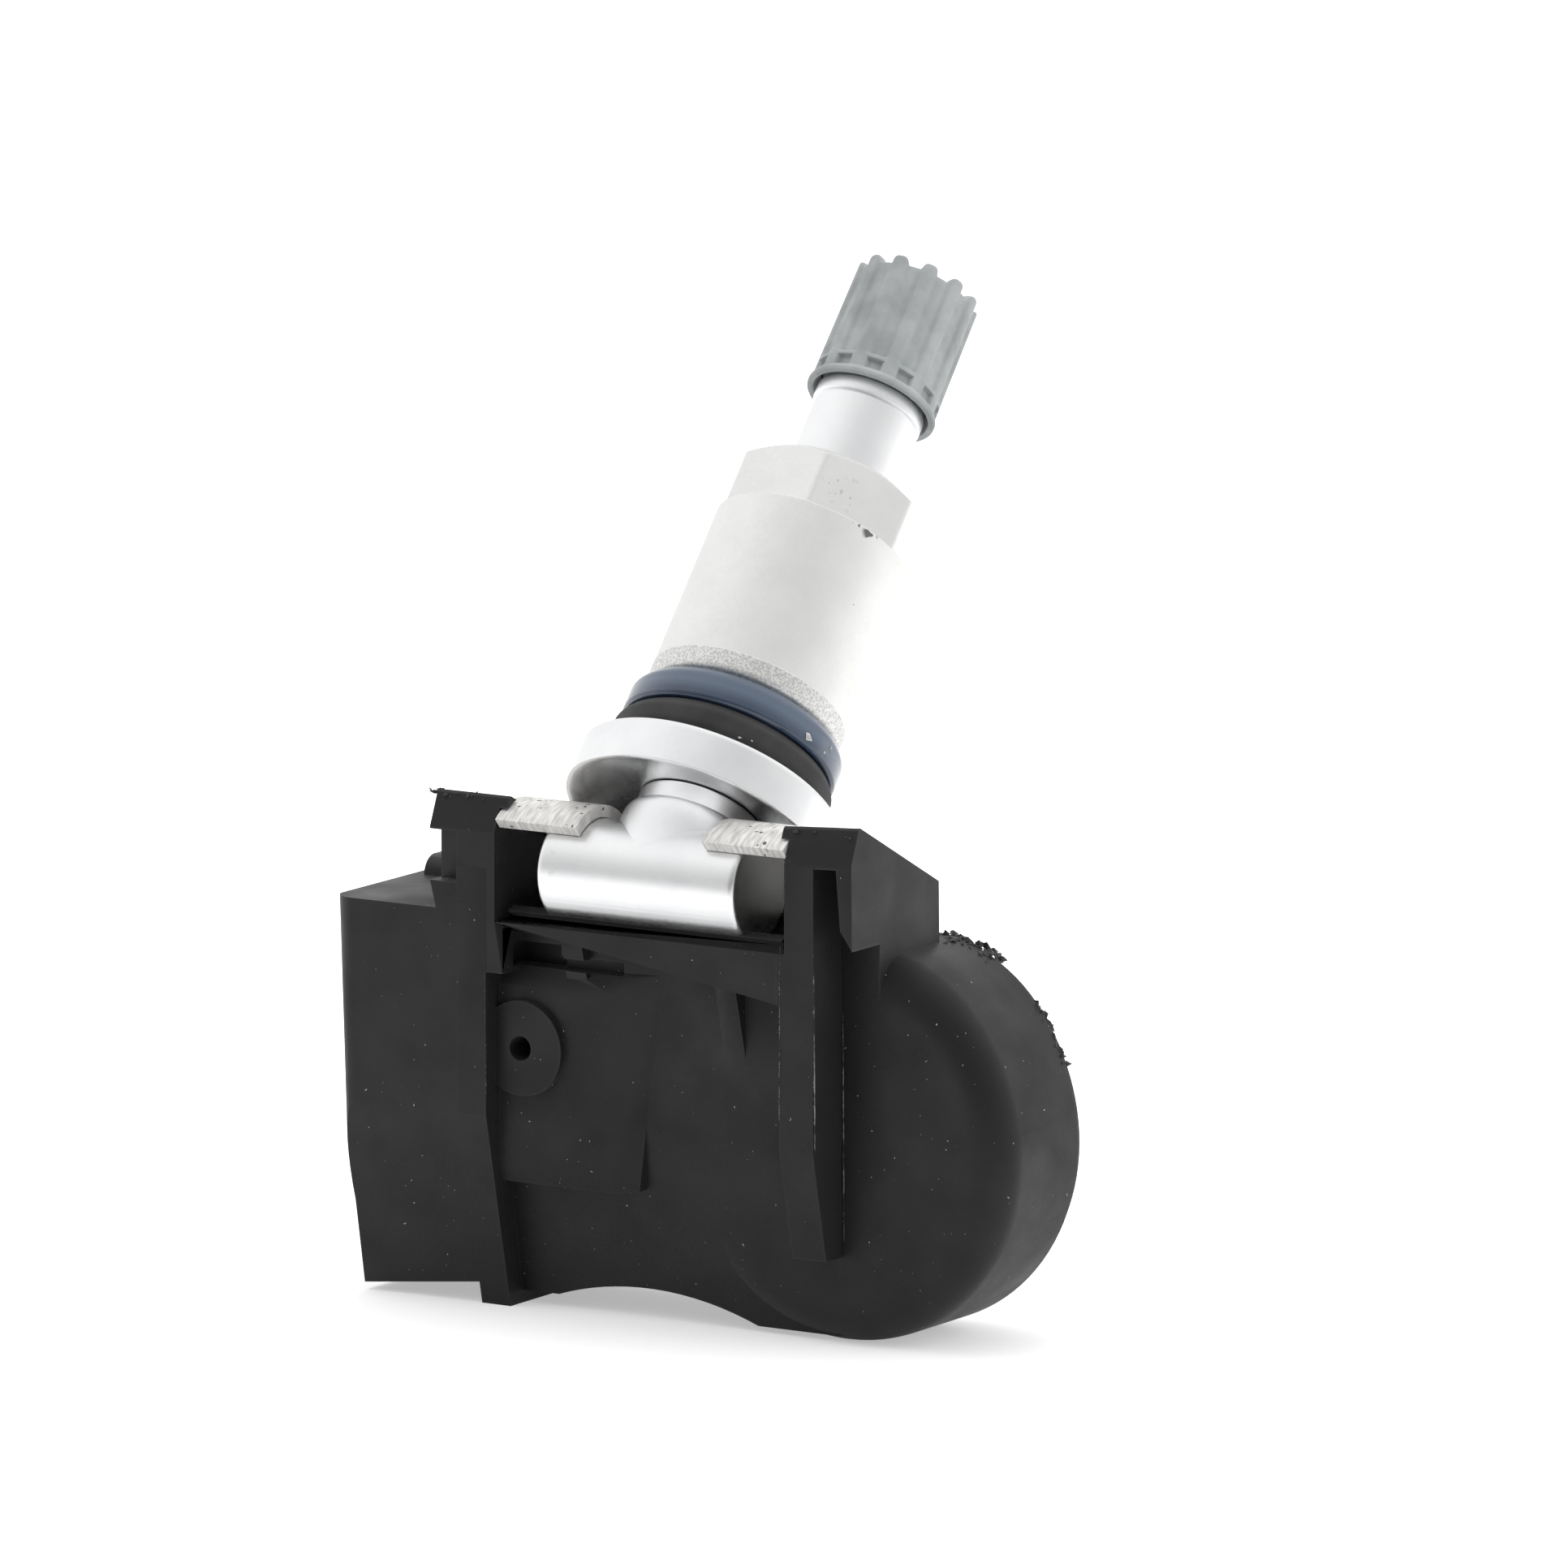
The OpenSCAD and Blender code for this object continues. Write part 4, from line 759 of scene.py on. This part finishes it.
cap_rows = softened(cap_profile, [0.1, 0.15, 0.1, 0.08, 0.1, 0.12, 0.04, 0.04, 0.04, 0.04, 0.05, 0.32, 0.2, 0.1])
dress(piece_of("ribbed_cap", [spun(cap_rows, cap_turns, stem_point, stem_axes, False)], ["valve_cap"]),
      cap_grey, "cap")
paint("cap_seal", plain_finish("cap_seal_finish", (0.02, 0.02, 0.021, 1), (0.03, 0.03, 0.031, 1), 0.6))


# FLOOR, LIGHT AND CAMERA
# White table and white surround as in a light tent: soft light from above and from the right,
# less from the camera's side. The floor shows white and keeps the shadow under the sensor.

floor_mesh = bpy.data.meshes.new("floor")
floor_mesh.from_pydata([(-2, -2, 0), (2, -2, 0), (2, 2, 0), (-2, 2, 0)], [], [(0, 1, 2, 3)])
floor = bpy.data.objects.new("floor", floor_mesh)
scene.collection.objects.link(floor)
floor_white = bpy.data.materials.new("floor_white")
floor_white.use_nodes = True
tree = floor_white.node_tree
tree.nodes.clear()
matt = shader(tree, "BsdfDiffuse", {"Color": (0.82, 0.82, 0.82, 1)})
place = shader(tree, "TexCoord").outputs["Object"]
reach = shader(tree, "VectorMath", {0: place}, operation="LENGTH").outputs["Value"]
lift = ramp(tree, reach, 0.03, 0.1, 0.42, 1.0)
rays = shader(tree, "LightPath").outputs
faint = times(tree, rays["Is Glossy Ray"], 0.35)
seen = shader(tree, "Math", {0: rays["Is Camera Ray"], 1: faint}, operation="MAXIMUM").outputs[0]
seen = shader(tree, "Math", {0: seen, 1: rays["Is Transmission Ray"]}, operation="MAXIMUM").outputs[0]
glow = shader(tree, "Emission", {"Strength": times(tree, lift, seen)})
both = shader(tree, "AddShader", {0: matt.outputs[0], 1: glow.outputs[0]})
shader(tree, "OutputMaterial", {"Surface": both.outputs[0]})
floor_mesh.materials.append(floor_white)

world = bpy.data.worlds.new("tent")
scene.world = world
world.use_nodes = True
tree = world.node_tree
tree.nodes.clear()
rays = shader(tree, "LightPath").outputs
around = shader(tree, "TexCoord").outputs["Generated"]
side = shader(tree, "VectorMath", {0: around, 1: (0.42, -0.8, -0.43)}, operation="DOT_PRODUCT").outputs["Value"]
level = ramp(tree, side, -0.2, 0.85, 1.04, 0.1)
white = shader(tree, "Background", {"Color": (1, 1, 1, 1), "Strength": 1.0})
tent = shader(tree, "Background", {"Color": (1, 1, 1, 1), "Strength": level})
pick = shader(tree, "MixShader", {0: rays["Is Camera Ray"], 1: tent.outputs[0], 2: white.outputs[0]})
shader(tree, "OutputWorld", {"Surface": pick.outputs[0]})


def softbox(name, place, aim, size, watts):
    """A square area lamp at a point, turned so that it shines at another point; metal doesn't mirror it."""
    lamp = bpy.data.lights.new(name, "AREA")
    lamp.size = size
    lamp.energy = watts
    held = bpy.data.objects.new(name, lamp)
    scene.collection.objects.link(held)
    held.visible_glossy = False
    held.location = place
    held.rotation_euler = (Vector(aim) - Vector(place)).to_track_quat("-Z", "Y").to_euler()


softbox("top_box", (-0.05, 0.05, 0.55), (0, 0, 0.03), 0.5, 0.8)
softbox("right_box", (0.5, 0.15, 0.3), (0, 0, 0.03), 0.4, 0.8)

azimuth, elevation, distance = math.radians(32.2), math.radians(9.8), 1.2
pixels_per_metre, photo_width = 18420.0, 1932.0
right = Vector((math.cos(azimuth), math.sin(azimuth), 0.0))
forward = Vector((-math.sin(azimuth) * math.cos(elevation), math.cos(azimuth) * math.cos(elevation),
                  -math.sin(elevation)))
up = right.cross(forward)
aim = foot_point + 0.00815 * right + 0.006325 * up
eye = aim - distance * forward
lens = bpy.data.cameras.new("camera")
lens.sensor_width = 36.0
lens.lens = pixels_per_metre * distance / photo_width * lens.sensor_width
lens.clip_start = 0.01
camera = bpy.data.objects.new("camera", lens)
scene.collection.objects.link(camera)
camera.matrix_world = Matrix(((right.x, up.x, -forward.x, eye.x), (right.y, up.y, -forward.y, eye.y),
                              (right.z, up.z, -forward.z, eye.z), (0, 0, 0, 1)))
scene.camera = camera
